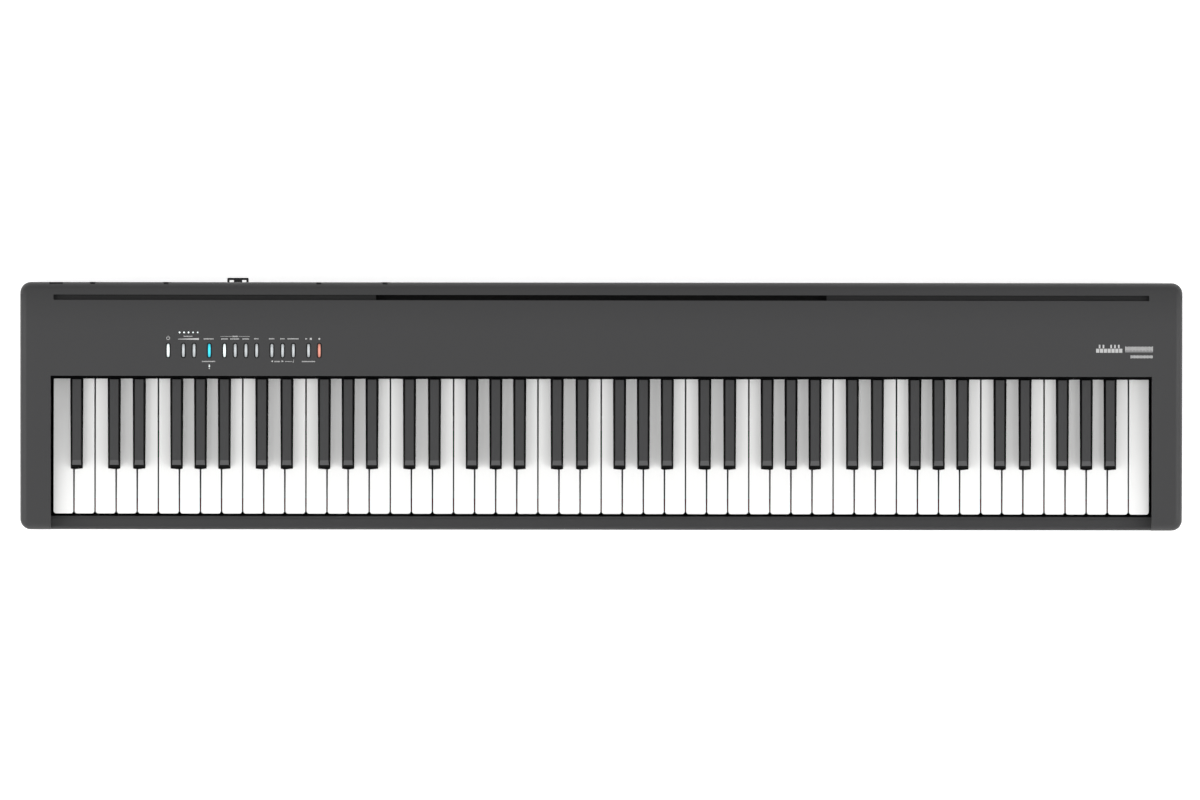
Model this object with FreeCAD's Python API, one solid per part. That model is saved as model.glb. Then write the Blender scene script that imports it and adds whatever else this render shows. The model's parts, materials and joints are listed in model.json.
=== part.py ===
import FreeCAD, Part
import math
import os

from FreeCAD import Placement, Rotation, Vector

os.makedirs("parts", exist_ok=True)

# An 88-key slab digital piano. Millimetres. +X runs to the treble, +Y to the rear, +Z up.
# The origin is on the floor, under the middle of the whole object.
# "d" is always the distance behind the front edge of the case.

# ---- driving dimensions: keyboard ----
WHITE_COUNT = 52
WHITE_PITCH = 23.6
WHITE_GAP = 1.05  # between neighbouring white keys
BLACK_WIDTH = 12.8
BLACK_SIDE_GAP = 0.9  # black key to the white keys beside it
BLACK_TOP_WIDTH = 10.2
OFFSET_CD = 2.2  # how far C sharp and D sharp sit from the gaps they cover
OFFSET_FA = 3.1  # the same for F sharp and A sharp
KEY_FRONT_D = 18.0
HEAD_LENGTH = 49.9  # white key, from its front to the notch
KEY_SHOW_LENGTH = 150.3  # raised or visible length, front to the name felt
BLACK_FRONT_GAP = 0.9
KEY_TOP_Z = 118.0
KEY_SKIRT = 20.0  # height of a key's side walls
BLACK_RISE = 12.5  # black top above white top
KEY_WALL = 2.0
KEY_CEILING = 2.2
FRONT_CORNER_RADIUS = 2.8

# ---- driving dimensions: case ----
CHEEK_WIDTH = 34.0
KEY_SIDE_CLEARANCE = 2.4
PANEL_DEPTH = 104.9  # control panel, front lip to the rear of the case
FELT_SHOW = 3.8  # name felt seen in front of the panel lip
CASE_HEIGHT = 151.0
HOOK_REACH = 5.0
WALL = 3.0
PLAN_RADIUS = 12.0
RIM_RADIUS = 8.0  # where the case's top rolls over into its walls
TOP_SLOPE = math.radians(6.0)
CREST_RADIUS = 141.0  # gentle curve over the rear of the panel
CREST_SETBACK = 54.0  # from the rear of the case to where that curve starts
FOOT_HEIGHT = 8.0
FOOT_RADIUS = 12.0
SEAM_Z = 40.0  # upper case meets lower case
SLIP_TOP_Z = 101.0
SLIP_GAP = 2.6  # key slip to key fronts
SLIP_SETBACK = 0.8

# ---- driving dimensions: action ----
KEY_PIVOT_LENGTH = 222.0  # key front to key pivot
KEY_PIVOT_Z = 104.0
ROD_RADIUS = 3.0
RUNNING_CLEARANCE = 0.05  # radial, keys and hammers on their rods
CONTACT_LENGTH = 155.0  # key pivot to the foot that works the hammer
HAMMER_ARM = 40.0  # hammer pivot to the same foot
HAMMER_PIVOT_Z = 78.0
FOOT_TIP_Z = 84.0
TIP_GAP = 0.6  # key foot over hammer nose
HAMMER_THICKNESS = 4.0
WEIGHT_THICKNESS = 6.0
CHASSIS_Z = 36.0
SHEET = 1.5
RIB_THICKNESS = 2.0

# ---- driving dimensions: controls ----
BUTTON_D = 200.5
BUTTON_FIRST_END = 165.6  # first button, from the left end of the case
BUTTON_STEPS = (17.0, 12.0, 17.0, 17.0, 12.0, 12.0, 12.0, 17.0, 12.0, 12.0, 17.0, 12.0)
BUTTON_NAMES = (
    "power_button",
    "volume_down_button",
    "volume_up_button",
    "function_button",
    "piano_tone_button",
    "second_tone_button",
    "third_tone_button",
    "split_button",
    "song_button",
    "accompaniment_button",
    "metronome_button",
    "play_button",
    "record_button",
)
BUTTON_WIDTH = 3.2
BUTTON_LENGTH = 15.0
BUTTON_GAP = 1.2  # cap to the edge of its hole
BUTTON_PROUD = 0.8
BUTTON_TRAVEL = 0.8
LAMP_D = 220.6
LAMP_FIRST_STEP = 12.7  # first level lamp, from the first button
LAMP_PITCH = 5.05
LAMP_COUNT = 5
LAMP_RADIUS = 0.9
TICK_D = 183.0  # small lamp below the function button

# ---- driving dimensions: rear and underside ----
GROOVE_D = 259.9
GROOVE_WIDTH = 6.0
GROOVE_DEPTH = 6.0
REST_SLOT_LENGTH = 504.0
REST_SLOT_DEPTH = 18.0
JACK_RADIUS = 3.2
PHONES_ENDS = (60.0, 84.0)  # these are places from the left end of the case
PEDAL_UNIT_END = 40.0
SUSTAIN_END = 81.0
LINE_OUT_END = 163.0
HOOK_END = 243.0
HOOK_WIDTH = 24.0
HOOK_HEIGHT = 5.0
HOOK_BAR = 2.6
HOOK_WEB = 9.2
HOOK_Z = 86.0
USB_END = 334.0
DC_END = 408.0
DC_RADIUS = 2.85
SOCKET_Z = 62.0
STAND_INSET = 120.0  # stand screws, from both ends of the case
STAND_SPACING_Y = 170.0
INSERT_BORE_RADIUS = 2.5
INSERT_RADIUS = 4.5
INSERT_LENGTH = 12.0
SPEAKER_INSET = 210.0
SPEAKER_LENGTH = 124.0
SPEAKER_WIDTH = 84.0
SPEAKER_BACK = 124.65  # front of the case to the middle of the speakers
GRILLE_THICKNESS = 1.2
TRAY_CHAMFER = 5.0
FOOT_INSET = 62.0
FOOT_FRONT, FOOT_REAR = 36.0, 41.0
POST_RADIUS = 5.0
REAR_POST_INSETS = (120.0, 350.0)
CHASSIS_SCREW_INSETS = (75.0, 350.0)
SCREW_SHANK_RADIUS = 1.5
SCREW_HEAD_RADIUS = 3.4
SCREW_HEAD_HEIGHT = 2.2
SCREW_LENGTH = 14.0
JACK_PANEL_ENDS = (18.0, 428.0)
JACK_PANEL_HEIGHT = 30.0
PANEL_PLATE = 2.0
PLUG_MARK_WIDTH = 5.5
PEDAL_UNIT_WIDTH, PEDAL_UNIT_HEIGHT = 15.0, 7.0
USB_WIDTH, USB_HEIGHT = 9.0, 8.0
SHELL_WALL = 0.6
SHELL_DEPTH = 12.0
BEZEL_RADIUS = 5.5
BORE_LENGTH = 14.0
BUTTON_FLANGE = 2.4  # how far a button's flange reaches past its cap
FLANGE_GAP = 0.3
BUTTON_LOW = -5.0  # these are heights from the panel's surface
STEM_LOW = -12.4
BOARD_TOP = -14.4
SWITCH_HEIGHT = 1.0
FLANGE_Z = 82.0
STOP_Z = 76.5
FELT_THICKNESS = 4.0
REST_REACH = (68.0, 98.0)  # hammer pivot to the near and far edge of the rest felt
STOP_REACH = (72.0, 98.0)
STOP_FELT_MARGIN = 2.0
BOARD_Z = 62.0
BOARD_THICKNESS = 1.6
LIP_CLEARANCE = 4.0  # key tops to the lower edge of the panel's lip

# ---- derived places ----
KEYS_WIDTH = WHITE_COUNT * WHITE_PITCH
OPENING_HALF = KEYS_WIDTH / 2 + KEY_SIDE_CLEARANCE
CASE_HALF = OPENING_HALF + CHEEK_WIDTH
LIP_D = KEY_FRONT_D + KEY_SHOW_LENGTH + FELT_SHOW
CASE_DEPTH = LIP_D + PANEL_DEPTH
FRONT_Y = -(CASE_DEPTH + HOOK_REACH) / 2
REAR_Y = FRONT_Y + CASE_DEPTH
BASE_Z = FOOT_HEIGHT
FLOOR_Z = BASE_Z + WALL

KEY_FRONT_Y = FRONT_Y + KEY_FRONT_D
NOTCH_Y = KEY_FRONT_Y + HEAD_LENGTH
BLACK_FRONT_Y = NOTCH_Y + BLACK_FRONT_GAP
SHOW_END_Y = KEY_FRONT_Y + KEY_SHOW_LENGTH
LIP_Y = FRONT_Y + LIP_D
KEY_PIVOT_Y = KEY_FRONT_Y + KEY_PIVOT_LENGTH
TAIL_END_Y = KEY_PIVOT_Y - 15.0
SKIRT_Z = KEY_TOP_Z - KEY_SKIRT
CONTACT_Y = KEY_PIVOT_Y - CONTACT_LENGTH
HAMMER_PIVOT_Y = CONTACT_Y + HAMMER_ARM
BEARING_RADIUS = ROD_RADIUS + RUNNING_CLEARANCE
CHASSIS_TOP_Z = CHASSIS_Z + SHEET
CHASSIS_HALF = KEYS_WIDTH / 2 - 1.0
NOTCH_WIDTH = BLACK_WIDTH + 2 * BLACK_SIDE_GAP  # cut out of the white keys for each black key
FLANGE_REAR_Y = CONTACT_Y - 6.0
REST_Y0, REST_Y1 = HAMMER_PIVOT_Y + REST_REACH[0], HAMMER_PIVOT_Y + REST_REACH[1]
STOP_Y0, STOP_Y1 = HAMMER_PIVOT_Y + STOP_REACH[0], HAMMER_PIVOT_Y + STOP_REACH[1]
SPEAKER_X = CASE_HALF - SPEAKER_INSET
SPEAKER_Y = FRONT_Y + SPEAKER_BACK
POST_BOTTOM_Z = FLOOR_Z + 6.0
SCREW_SEAT_Z = BASE_Z + 4.0
STAND_X = CASE_HALF - STAND_INSET
BUTTON_FIRST_X = BUTTON_FIRST_END - CASE_HALF
LAMP_FIRST_X = BUTTON_FIRST_X + LAMP_FIRST_STEP
PHONES_X = [end - CASE_HALF for end in PHONES_ENDS]
PEDAL_UNIT_X = PEDAL_UNIT_END - CASE_HALF
SUSTAIN_X = SUSTAIN_END - CASE_HALF
LINE_OUT_X = LINE_OUT_END - CASE_HALF
HOOK_X = HOOK_END - CASE_HALF
USB_X = USB_END - CASE_HALF
DC_X = DC_END - CASE_HALF
JACK_PANEL = [end - CASE_HALF for end in JACK_PANEL_ENDS] + [
    SOCKET_Z + side * JACK_PANEL_HEIGHT / 2 for side in (-1, 1)]
EDGE_MARKS = [(PEDAL_UNIT_X, PEDAL_UNIT_WIDTH)] + [
    (x, PLUG_MARK_WIDTH) for x in (SUSTAIN_X, LINE_OUT_X, USB_X, DC_X)]
SHELL_SOCKETS = ((PEDAL_UNIT_X, PEDAL_UNIT_WIDTH, PEDAL_UNIT_HEIGHT), (USB_X, USB_WIDTH, USB_HEIGHT))

# the case's top: a plane rising to the rear, then a gentle crest
CREST_START_D = CASE_DEPTH - CREST_SETBACK
CREST_CENTRE_D = CREST_START_D + CREST_RADIUS * math.sin(TOP_SLOPE)
CREST_CENTRE_Z = CASE_HEIGHT - CREST_RADIUS
CREST_START_Z = CREST_CENTRE_Z + CREST_RADIUS * math.cos(TOP_SLOPE)
TOP_FRONT_Z = CREST_START_Z - CREST_START_D * math.tan(TOP_SLOPE)

PITCHES = ("c", "c_sharp", "d", "d_sharp", "e", "f", "f_sharp", "g", "g_sharp", "a", "a_sharp", "b")
WHITE_NAMES = ("c", "d", "e", "f", "g", "a", "b")
BLACK_AFTER = {"c": -OFFSET_CD, "d": OFFSET_CD, "f": -OFFSET_FA, "g": 0.0, "a": OFFSET_FA}
FIRST_WHITE = WHITE_NAMES.index("a")
OCTAVE = len(WHITE_NAMES)


def at(x, d, z):
    return Vector(x, FRONT_Y + d, z)


def box(x0, x1, y0, y1, z0, z1):
    return Part.makeBox(x1 - x0, y1 - y0, z1 - z0, Vector(x0, y0, z0))


def cylinder(x, y, z0, z1, radius):
    return Part.makeCylinder(radius, z1 - z0, Vector(x, y, z0))


def rod_along_x(x0, x1, y, z, radius):
    return Part.makeCylinder(radius, x1 - x0, Vector(x0, y, z), Vector(1, 0, 0))


def rod_along_y(x, y0, y1, z, radius):
    return Part.makeCylinder(radius, y1 - y0, Vector(x, y0, z), Vector(0, 1, 0))


def side_prism(points, x0, x1):
    """A polygon of (y, z) corners, drawn along X."""
    corners = [Vector(x0, y, z) for y, z in points]
    return Part.Face(Part.makePolygon(corners + corners[:1])).extrude(Vector(x1 - x0, 0, 0))


def rounded_prism(x0, x1, y0, y1, z0, z1, radius):
    """An upright block with rounded plan corners."""
    block = box(x0, x1, y0, y1, z0, z1)
    upright = [e for e in block.Edges if abs(e.tangentAt(e.FirstParameter).z) > 0.99]
    return block.makeFillet(radius, upright)


def oval_prism(width, length, z0, z1):
    """An oval standing on the local XY plane, long along Y."""
    r, reach = width / 2, (length - width) / 2
    corners = [Vector(x, y, z0) for x, y in ((r, -reach), (r, reach), (-r, reach), (-r, -reach))]
    edges = [
        Part.LineSegment(corners[0], corners[1]),
        Part.Arc(corners[1], Vector(0, reach + r, z0), corners[2]),
        Part.LineSegment(corners[2], corners[3]),
        Part.Arc(corners[3], Vector(0, -reach - r, z0), corners[0]),
    ]
    return Part.Face(Part.Wire([edge.toShape() for edge in edges])).extrude(Vector(0, 0, z1 - z0))


def fused(shapes):
    shapes = list(shapes)
    return shapes[0].multiFuse(shapes[1:]).removeSplitter()


def on_panel(shape, x, d):
    """Move a shape from a local frame to the sloping panel: local +Z becomes the panel's normal."""
    z = TOP_FRONT_Z + d * math.tan(TOP_SLOPE)
    placed = shape.copy()
    placed.Placement = Placement(at(x, d, z), Rotation(Vector(1, 0, 0), math.degrees(TOP_SLOPE)))
    return placed


def export(name, shapes):
    shapes = list(shapes) if isinstance(shapes, (list, tuple)) else [shapes]
    solids = [solid for shape in shapes for solid in shape.Solids]
    bad = [solid for solid in solids if not solid.isValid() or solid.Volume <= 0]
    if bad:
        raise ValueError(f"{name}: {len(bad)} bad solids")
    whole = solids[0] if len(solids) == 1 else Part.makeCompound(solids)
    whole.exportStep(f"parts/{name}.step")


# ---- keyboard layout ----
def white_left(index):
    return -KEYS_WIDTH / 2 + index * WHITE_PITCH


def white_name(index):
    return WHITE_NAMES[(FIRST_WHITE + index) % OCTAVE]


def black_centre(index):
    """Centre of the black key that follows white key number index, or None."""
    if index < 0 or index >= WHITE_COUNT - 1 or white_name(index) not in BLACK_AFTER:
        return None
    return white_left(index + 1) + BLACK_AFTER[white_name(index)]


def white_tail(index):
    """Left and right side of a white key's tail, between its black neighbours."""
    before, after = black_centre(index - 1), black_centre(index)
    left = white_left(index) + WHITE_GAP / 2 if before is None else before + NOTCH_WIDTH / 2
    right = white_left(index + 1) - WHITE_GAP / 2 if after is None else after - NOTCH_WIDTH / 2
    return left, right


def keyboard():
    """Every key as (pitch name, "white" or "black", index, centre of its tail)."""
    keys = []
    for index in range(WHITE_COUNT):
        left, right = white_tail(index)
        keys.append((white_name(index), "white", index, (left + right) / 2))
        if black_centre(index) is not None:
            keys.append((white_name(index) + "_sharp", "black", index, black_centre(index)))
    return keys


# ---- keys ----
def key_bearing(centre):
    """The narrow rear end of a key: a hook that snaps down over the pivot rod."""
    half, reach = 4.0, 7.0
    arm = box(centre - half, centre + half, TAIL_END_Y - KEY_WALL, KEY_PIVOT_Y, SKIRT_Z, KEY_PIVOT_Z + reach)
    eye = rod_along_x(centre - half, centre + half, KEY_PIVOT_Y, KEY_PIVOT_Z, reach)
    bore = rod_along_x(centre - half, centre + half, KEY_PIVOT_Y, KEY_PIVOT_Z, BEARING_RADIUS)
    mouth = ROD_RADIUS - 1.0
    slot = box(centre - half, centre + half, KEY_PIVOT_Y - mouth, KEY_PIVOT_Y + mouth,
               KEY_PIVOT_Z - reach - 1, KEY_PIVOT_Z)
    return arm.fuse(eye).cut(bore).cut(slot)


def key_foot(centre, top):
    half = 2.5
    return box(centre - half, centre + half, CONTACT_Y - 2, CONTACT_Y + 2, FOOT_TIP_Z, top)


def white_key(index, centre):
    left, right = white_left(index) + WHITE_GAP / 2, white_left(index + 1) - WHITE_GAP / 2
    tail_left, tail_right = white_tail(index)
    ceiling = KEY_TOP_Z - KEY_CEILING
    head = box(left, right, KEY_FRONT_Y, NOTCH_Y, SKIRT_Z, KEY_TOP_Z)
    corners = [e for e in head.Edges
               if e.BoundBox.ZLength > KEY_SKIRT / 2 and e.BoundBox.YMax < KEY_FRONT_Y + 1]
    head = head.makeFillet(FRONT_CORNER_RADIUS, corners)
    tail = box(tail_left, tail_right, NOTCH_Y - KEY_WALL, TAIL_END_Y, SKIRT_Z, KEY_TOP_Z)
    hollow_head = box(left + KEY_WALL, right - KEY_WALL, KEY_FRONT_Y + KEY_WALL, NOTCH_Y - KEY_WALL,
                      SKIRT_Z - 1, ceiling)
    hollow_tail = box(tail_left + KEY_WALL, tail_right - KEY_WALL, NOTCH_Y - 2 * KEY_WALL,
                      TAIL_END_Y - KEY_WALL, SKIRT_Z - 1, ceiling)
    shell = head.fuse(tail).cut(hollow_head.fuse(hollow_tail))
    return fused([shell, key_bearing(centre), key_foot(centre, ceiling + KEY_CEILING / 2)])


def black_key(centre):
    half, top_half = BLACK_WIDTH / 2, BLACK_TOP_WIDTH / 2
    low_z, top_z = KEY_TOP_Z - 1.0, KEY_TOP_Z + BLACK_RISE
    nose = [(BLACK_FRONT_Y, SKIRT_Z), (BLACK_FRONT_Y, low_z), (BLACK_FRONT_Y + 3.3, top_z - 4.0),
            (BLACK_FRONT_Y + 8.9, top_z), (SHOW_END_Y, top_z), (SHOW_END_Y, SKIRT_Z)]
    raised = side_prism(nose, centre - half, centre + half)
    end_on = [(half, SKIRT_Z), (half, low_z), (top_half, top_z), (-top_half, top_z), (-half, low_z),
              (-half, SKIRT_Z)]
    corners = [Vector(centre + x, BLACK_FRONT_Y - 1, z) for x, z in end_on]
    taper = Part.Face(Part.makePolygon(corners + corners[:1]))
    raised = raised.common(taper.extrude(Vector(0, KEY_SHOW_LENGTH, 0)))
    tail_top = KEY_TOP_Z - KEY_CEILING
    tail = box(centre - half, centre + half, BLACK_FRONT_Y + KEY_WALL, TAIL_END_Y, SKIRT_Z, tail_top)
    ceiling = tail_top - KEY_CEILING
    hollow = box(centre - half + KEY_WALL, centre + half - KEY_WALL, BLACK_FRONT_Y + KEY_WALL,
                 TAIL_END_Y - KEY_WALL, SKIRT_Z - 1, ceiling)
    core_half = top_half - KEY_WALL
    core = box(centre - core_half, centre + core_half, BLACK_FRONT_Y + 10, SHOW_END_Y - 2 * KEY_WALL,
               SKIRT_Z, top_z - KEY_CEILING)
    shell = raised.fuse(tail).cut(hollow.fuse(core))
    return fused([shell, key_bearing(centre), key_foot(centre, top_z - KEY_CEILING / 2)])


# ---- hammers ----
def hammer(centre):
    """A steel lever under one key: the key's foot presses its nose, its weighted tail swings up."""
    y, z = HAMMER_PIVOT_Y, HAMMER_PIVOT_Z
    half, heavy = HAMMER_THICKNESS / 2, WEIGHT_THICKNESS / 2
    nose_radius, arm_half, hub_radius = 4.0, 2.5, 6.0
    nose_top = FOOT_TIP_Z - TIP_GAP
    weight_front, weight_back, weight_z0, weight_z1 = 66.0, 98.0, CHASSIS_TOP_Z + 4.5, CHASSIS_TOP_Z + 16.5
    arm = box(centre - half, centre + half, CONTACT_Y, y, z - arm_half, z + arm_half)
    nose = rod_along_x(centre - half, centre + half, CONTACT_Y, nose_top - nose_radius, nose_radius)
    hub = rod_along_x(centre - half, centre + half, y, z, hub_radius)
    mid = (weight_z0 + weight_z1) / 2
    lean = 3.0
    bar = side_prism([(y - lean, z - lean), (y + weight_front, mid - lean), (y + weight_front + lean, mid),
                      (y + weight_front, mid + lean), (y + lean, z + lean)], centre - half, centre + half)
    weight = box(centre - heavy, centre + heavy, y + weight_front, y + weight_back, weight_z0, weight_z1)
    bore = rod_along_x(centre - heavy, centre + heavy, y, z, BEARING_RADIUS)
    return fused([arm, nose, hub, bar, weight]).cut(bore)


# ---- chassis and the pieces on it ----
def rib_places():
    """The ribs stand between each B and C, and just inside both ends of the keyboard."""
    ends = [-KEYS_WIDTH / 2 + RIB_THICKNESS, KEYS_WIDTH / 2 - RIB_THICKNESS]
    between = [white_left(i) for i in range(1, WHITE_COUNT) if white_name(i) == "c"]
    return sorted(ends + between)


def felt_strips():
    reach = CHASSIS_HALF - RIB_THICKNESS / 2
    bed_z = FLANGE_Z + SHEET
    bed = box(-reach, reach, KEY_FRONT_Y + 3, KEY_FRONT_Y + 17, bed_z, bed_z + FELT_THICKNESS)
    rest = box(-reach, reach, REST_Y0, REST_Y1, CHASSIS_TOP_Z, CHASSIS_TOP_Z + FELT_THICKNESS)
    stop = box(-reach, reach, STOP_Y0 + STOP_FELT_MARGIN, STOP_Y1 - STOP_FELT_MARGIN, STOP_Z - FELT_THICKNESS,
               STOP_Z)
    return [bed, rest, stop]


def sensor_strip(grow=0.0):
    return box(-CHASSIS_HALF + 2 - grow, CHASSIS_HALF - 2 + grow, CONTACT_Y - 4 - grow, CONTACT_Y + 26 + grow,
               BOARD_Z - grow, BOARD_Z + BOARD_THICKNESS + grow)


def rib(x):
    front, rear = KEY_FRONT_Y + 3.5, KEY_PIVOT_Y + 13
    outline = [(front, CHASSIS_TOP_Z), (front, FLANGE_Z), (FLANGE_REAR_Y, FLANGE_Z),
               (HAMMER_PIVOT_Y - 12, HAMMER_PIVOT_Z + 8), (HAMMER_PIVOT_Y + 12, HAMMER_PIVOT_Z + 8),
               (STOP_Y0 - 8, STOP_Z), (KEY_PIVOT_Y - 15, STOP_Z), (KEY_PIVOT_Y - 9, KEY_PIVOT_Z + 8),
               (rear, KEY_PIVOT_Z + 8), (rear, CHASSIS_TOP_Z)]
    half = RIB_THICKNESS / 2
    plate = side_prism(outline, x - half, x + half)
    for y, z in ((KEY_PIVOT_Y, KEY_PIVOT_Z), (HAMMER_PIVOT_Y, HAMMER_PIVOT_Z)):
        plate = plate.cut(rod_along_x(x - half, x + half, y, z, ROD_RADIUS))
    return plate


def chassis_screw_places():
    right = [CASE_HALF - inset for inset in CHASSIS_SCREW_INSETS]
    across = [-x for x in right] + [0.0] + right
    return [(x, y) for x in across for y in (KEY_FRONT_Y + 23, KEY_PIVOT_Y - 2)]


def make_chassis():
    base = box(-CHASSIS_HALF, CHASSIS_HALF, KEY_FRONT_Y + 2, KEY_PIVOT_Y + 13, CHASSIS_Z, CHASSIS_TOP_Z)
    front = box(-CHASSIS_HALF, CHASSIS_HALF, KEY_FRONT_Y + 2, KEY_FRONT_Y + 3.5, CHASSIS_Z, FLANGE_Z)
    flange = box(-CHASSIS_HALF, CHASSIS_HALF, KEY_FRONT_Y + 2, FLANGE_REAR_Y, FLANGE_Z, FLANGE_Z + SHEET)
    stop_rail = box(-CHASSIS_HALF, CHASSIS_HALF, STOP_Y0, STOP_Y1, STOP_Z, STOP_Z + SHEET)
    strips = felt_strips()
    ribs = [rib(x).cut(Part.makeCompound([strips[1], strips[2], sensor_strip(0.5)])) for x in rib_places()]
    body = fused([base, front, flange, stop_rail] + ribs)
    holes = [cylinder(x, y, CHASSIS_Z - 1, CHASSIS_TOP_Z + 1, SCREW_SHANK_RADIUS)
             for x, y in chassis_screw_places()]
    return body.cut(Part.makeCompound(holes))


def guide_posts():
    """Posts that steer the keys from inside: one under each white head and each black front."""
    clearance, z0, z1 = 0.4, FLANGE_Z + SHEET, KEY_TOP_Z - 15
    posts = []
    for _, colour, index, centre in keyboard():
        if colour == "white":
            middle = white_left(index) + WHITE_PITCH / 2
            half = (WHITE_PITCH - WHITE_GAP) / 2 - KEY_WALL - clearance
            posts.append(box(middle - half, middle + half, KEY_FRONT_Y + 20, KEY_FRONT_Y + 27, z0, z1))
        else:
            half = BLACK_WIDTH / 2 - KEY_WALL - clearance
            y = BLACK_FRONT_Y + KEY_WALL + clearance
            posts.append(box(centre - half, centre + half, y + 0.4, y + 6, z0, z1))
    return posts


def sensor_domes():
    """A double rubber dome under each hammer's nose, just clear of it at the end of its swing."""
    z0 = BOARD_Z + BOARD_THICKNESS
    return [fused([cylinder(centre, CONTACT_Y + y, z0, z0 + 3.6, 3.2) for y in (1.0, 9.0)]
                  + [box(centre - 4.5, centre + 4.5, CONTACT_Y - 3, CONTACT_Y + 13, z0, z0 + 1)])
            for _, _, _, centre in keyboard()]


# ---- case ----
def top_profile(bottom_z):
    """The side view of the case above bottom_z, as a wire in the YZ plane."""
    front_low, front_high = at(0, 0, bottom_z), at(0, 0, TOP_FRONT_Z)
    slope_end = at(0, CREST_START_D, CREST_START_Z)
    fall = math.asin((CASE_DEPTH - CREST_CENTRE_D) / CREST_RADIUS)
    crest_top = at(0, CREST_CENTRE_D, CASE_HEIGHT)
    rear_high = at(0, CASE_DEPTH, CREST_CENTRE_Z + CREST_RADIUS * math.cos(fall))
    rear_low = at(0, CASE_DEPTH, bottom_z)
    edges = [
        Part.LineSegment(front_low, front_high),
        Part.LineSegment(front_high, slope_end),
        Part.Arc(slope_end, crest_top, rear_high),
        Part.LineSegment(rear_high, rear_low),
        Part.LineSegment(rear_low, front_low),
    ]
    return Part.Wire([edge.toShape() for edge in edges])


def case_block(inset, bottom_z):
    """The case's outer form above bottom_z, or the same moved inward by inset."""
    profile = Part.Face(top_profile(bottom_z))
    if inset:
        profile = profile.makeOffset2D(-inset)
    half = CASE_HALF - inset
    profile.translate(Vector(-half, 0, 0))
    block = profile.extrude(Vector(2 * half, 0, 0))
    upright = [e for e in block.Edges if e.BoundBox.ZLength > 20 and e.BoundBox.YLength < 1]
    block = block.makeFillet(PLAN_RADIUS - inset, upright)
    return block.makeFillet(RIM_RADIUS - inset, [e for e in block.Edges if on_rim(e.BoundBox, inset)])


def on_rim(edge_box, inset):
    """Whether an edge lies on the outline where the case's top meets its walls."""
    high = edge_box.ZMin > SEAM_Z + 60
    front, rear = FRONT_Y + inset + 1, REAR_Y - inset - 1
    crosses_top = edge_box.XLength > CASE_HALF and edge_box.YMin > front and edge_box.YMax < rear
    return high and not crosses_top


def post_places():
    """Screw posts of the upper case: four in the cheeks, four along the rear."""
    cheek_x = CASE_HALF - CHEEK_WIDTH / 2 + 1
    cheeks = [(side * cheek_x, y) for side in (-1, 1) for y in (FRONT_Y + 26, FRONT_Y + 160)]
    rear = [(side * (CASE_HALF - inset), REAR_Y - 12) for side in (-1, 1) for inset in REAR_POST_INSETS]
    return cheeks + rear


def button_places():
    places, x = [], BUTTON_FIRST_X
    for name, step in zip(BUTTON_NAMES, BUTTON_STEPS + (0.0,)):
        places.append((name, x))
        x += step
    return places


def lamp_places():
    function_x = dict(button_places())["function_button"]
    return [(LAMP_FIRST_X + i * LAMP_PITCH, LAMP_D) for i in range(LAMP_COUNT)] + [(function_x, TICK_D)]


def rest_slot_box(grow, depth):
    half_x, half_y = REST_SLOT_LENGTH / 2 + grow, GROOVE_WIDTH / 2 + grow
    middle = FRONT_Y + GROOVE_D
    return box(-half_x, half_x, middle - half_y, middle + half_y, CASE_HEIGHT - depth, CASE_HEIGHT + 5)


def top_groove(grow):
    """The groove across the top, or, with grow, the trough around it: both follow the top surface."""
    middle, length, width = FRONT_Y + GROOVE_D, KEYS_WIDTH - 1.6 + 2 * grow, GROOVE_WIDTH + 2 * grow
    strip = oval_at(0, middle, length, width, CASE_HEIGHT - 20, CASE_HEIGHT + 1)
    below = case_block(0.0, SEAM_Z)
    below.translate(Vector(0, 0, -GROOVE_DEPTH - grow))
    return strip.cut(below)


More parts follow.
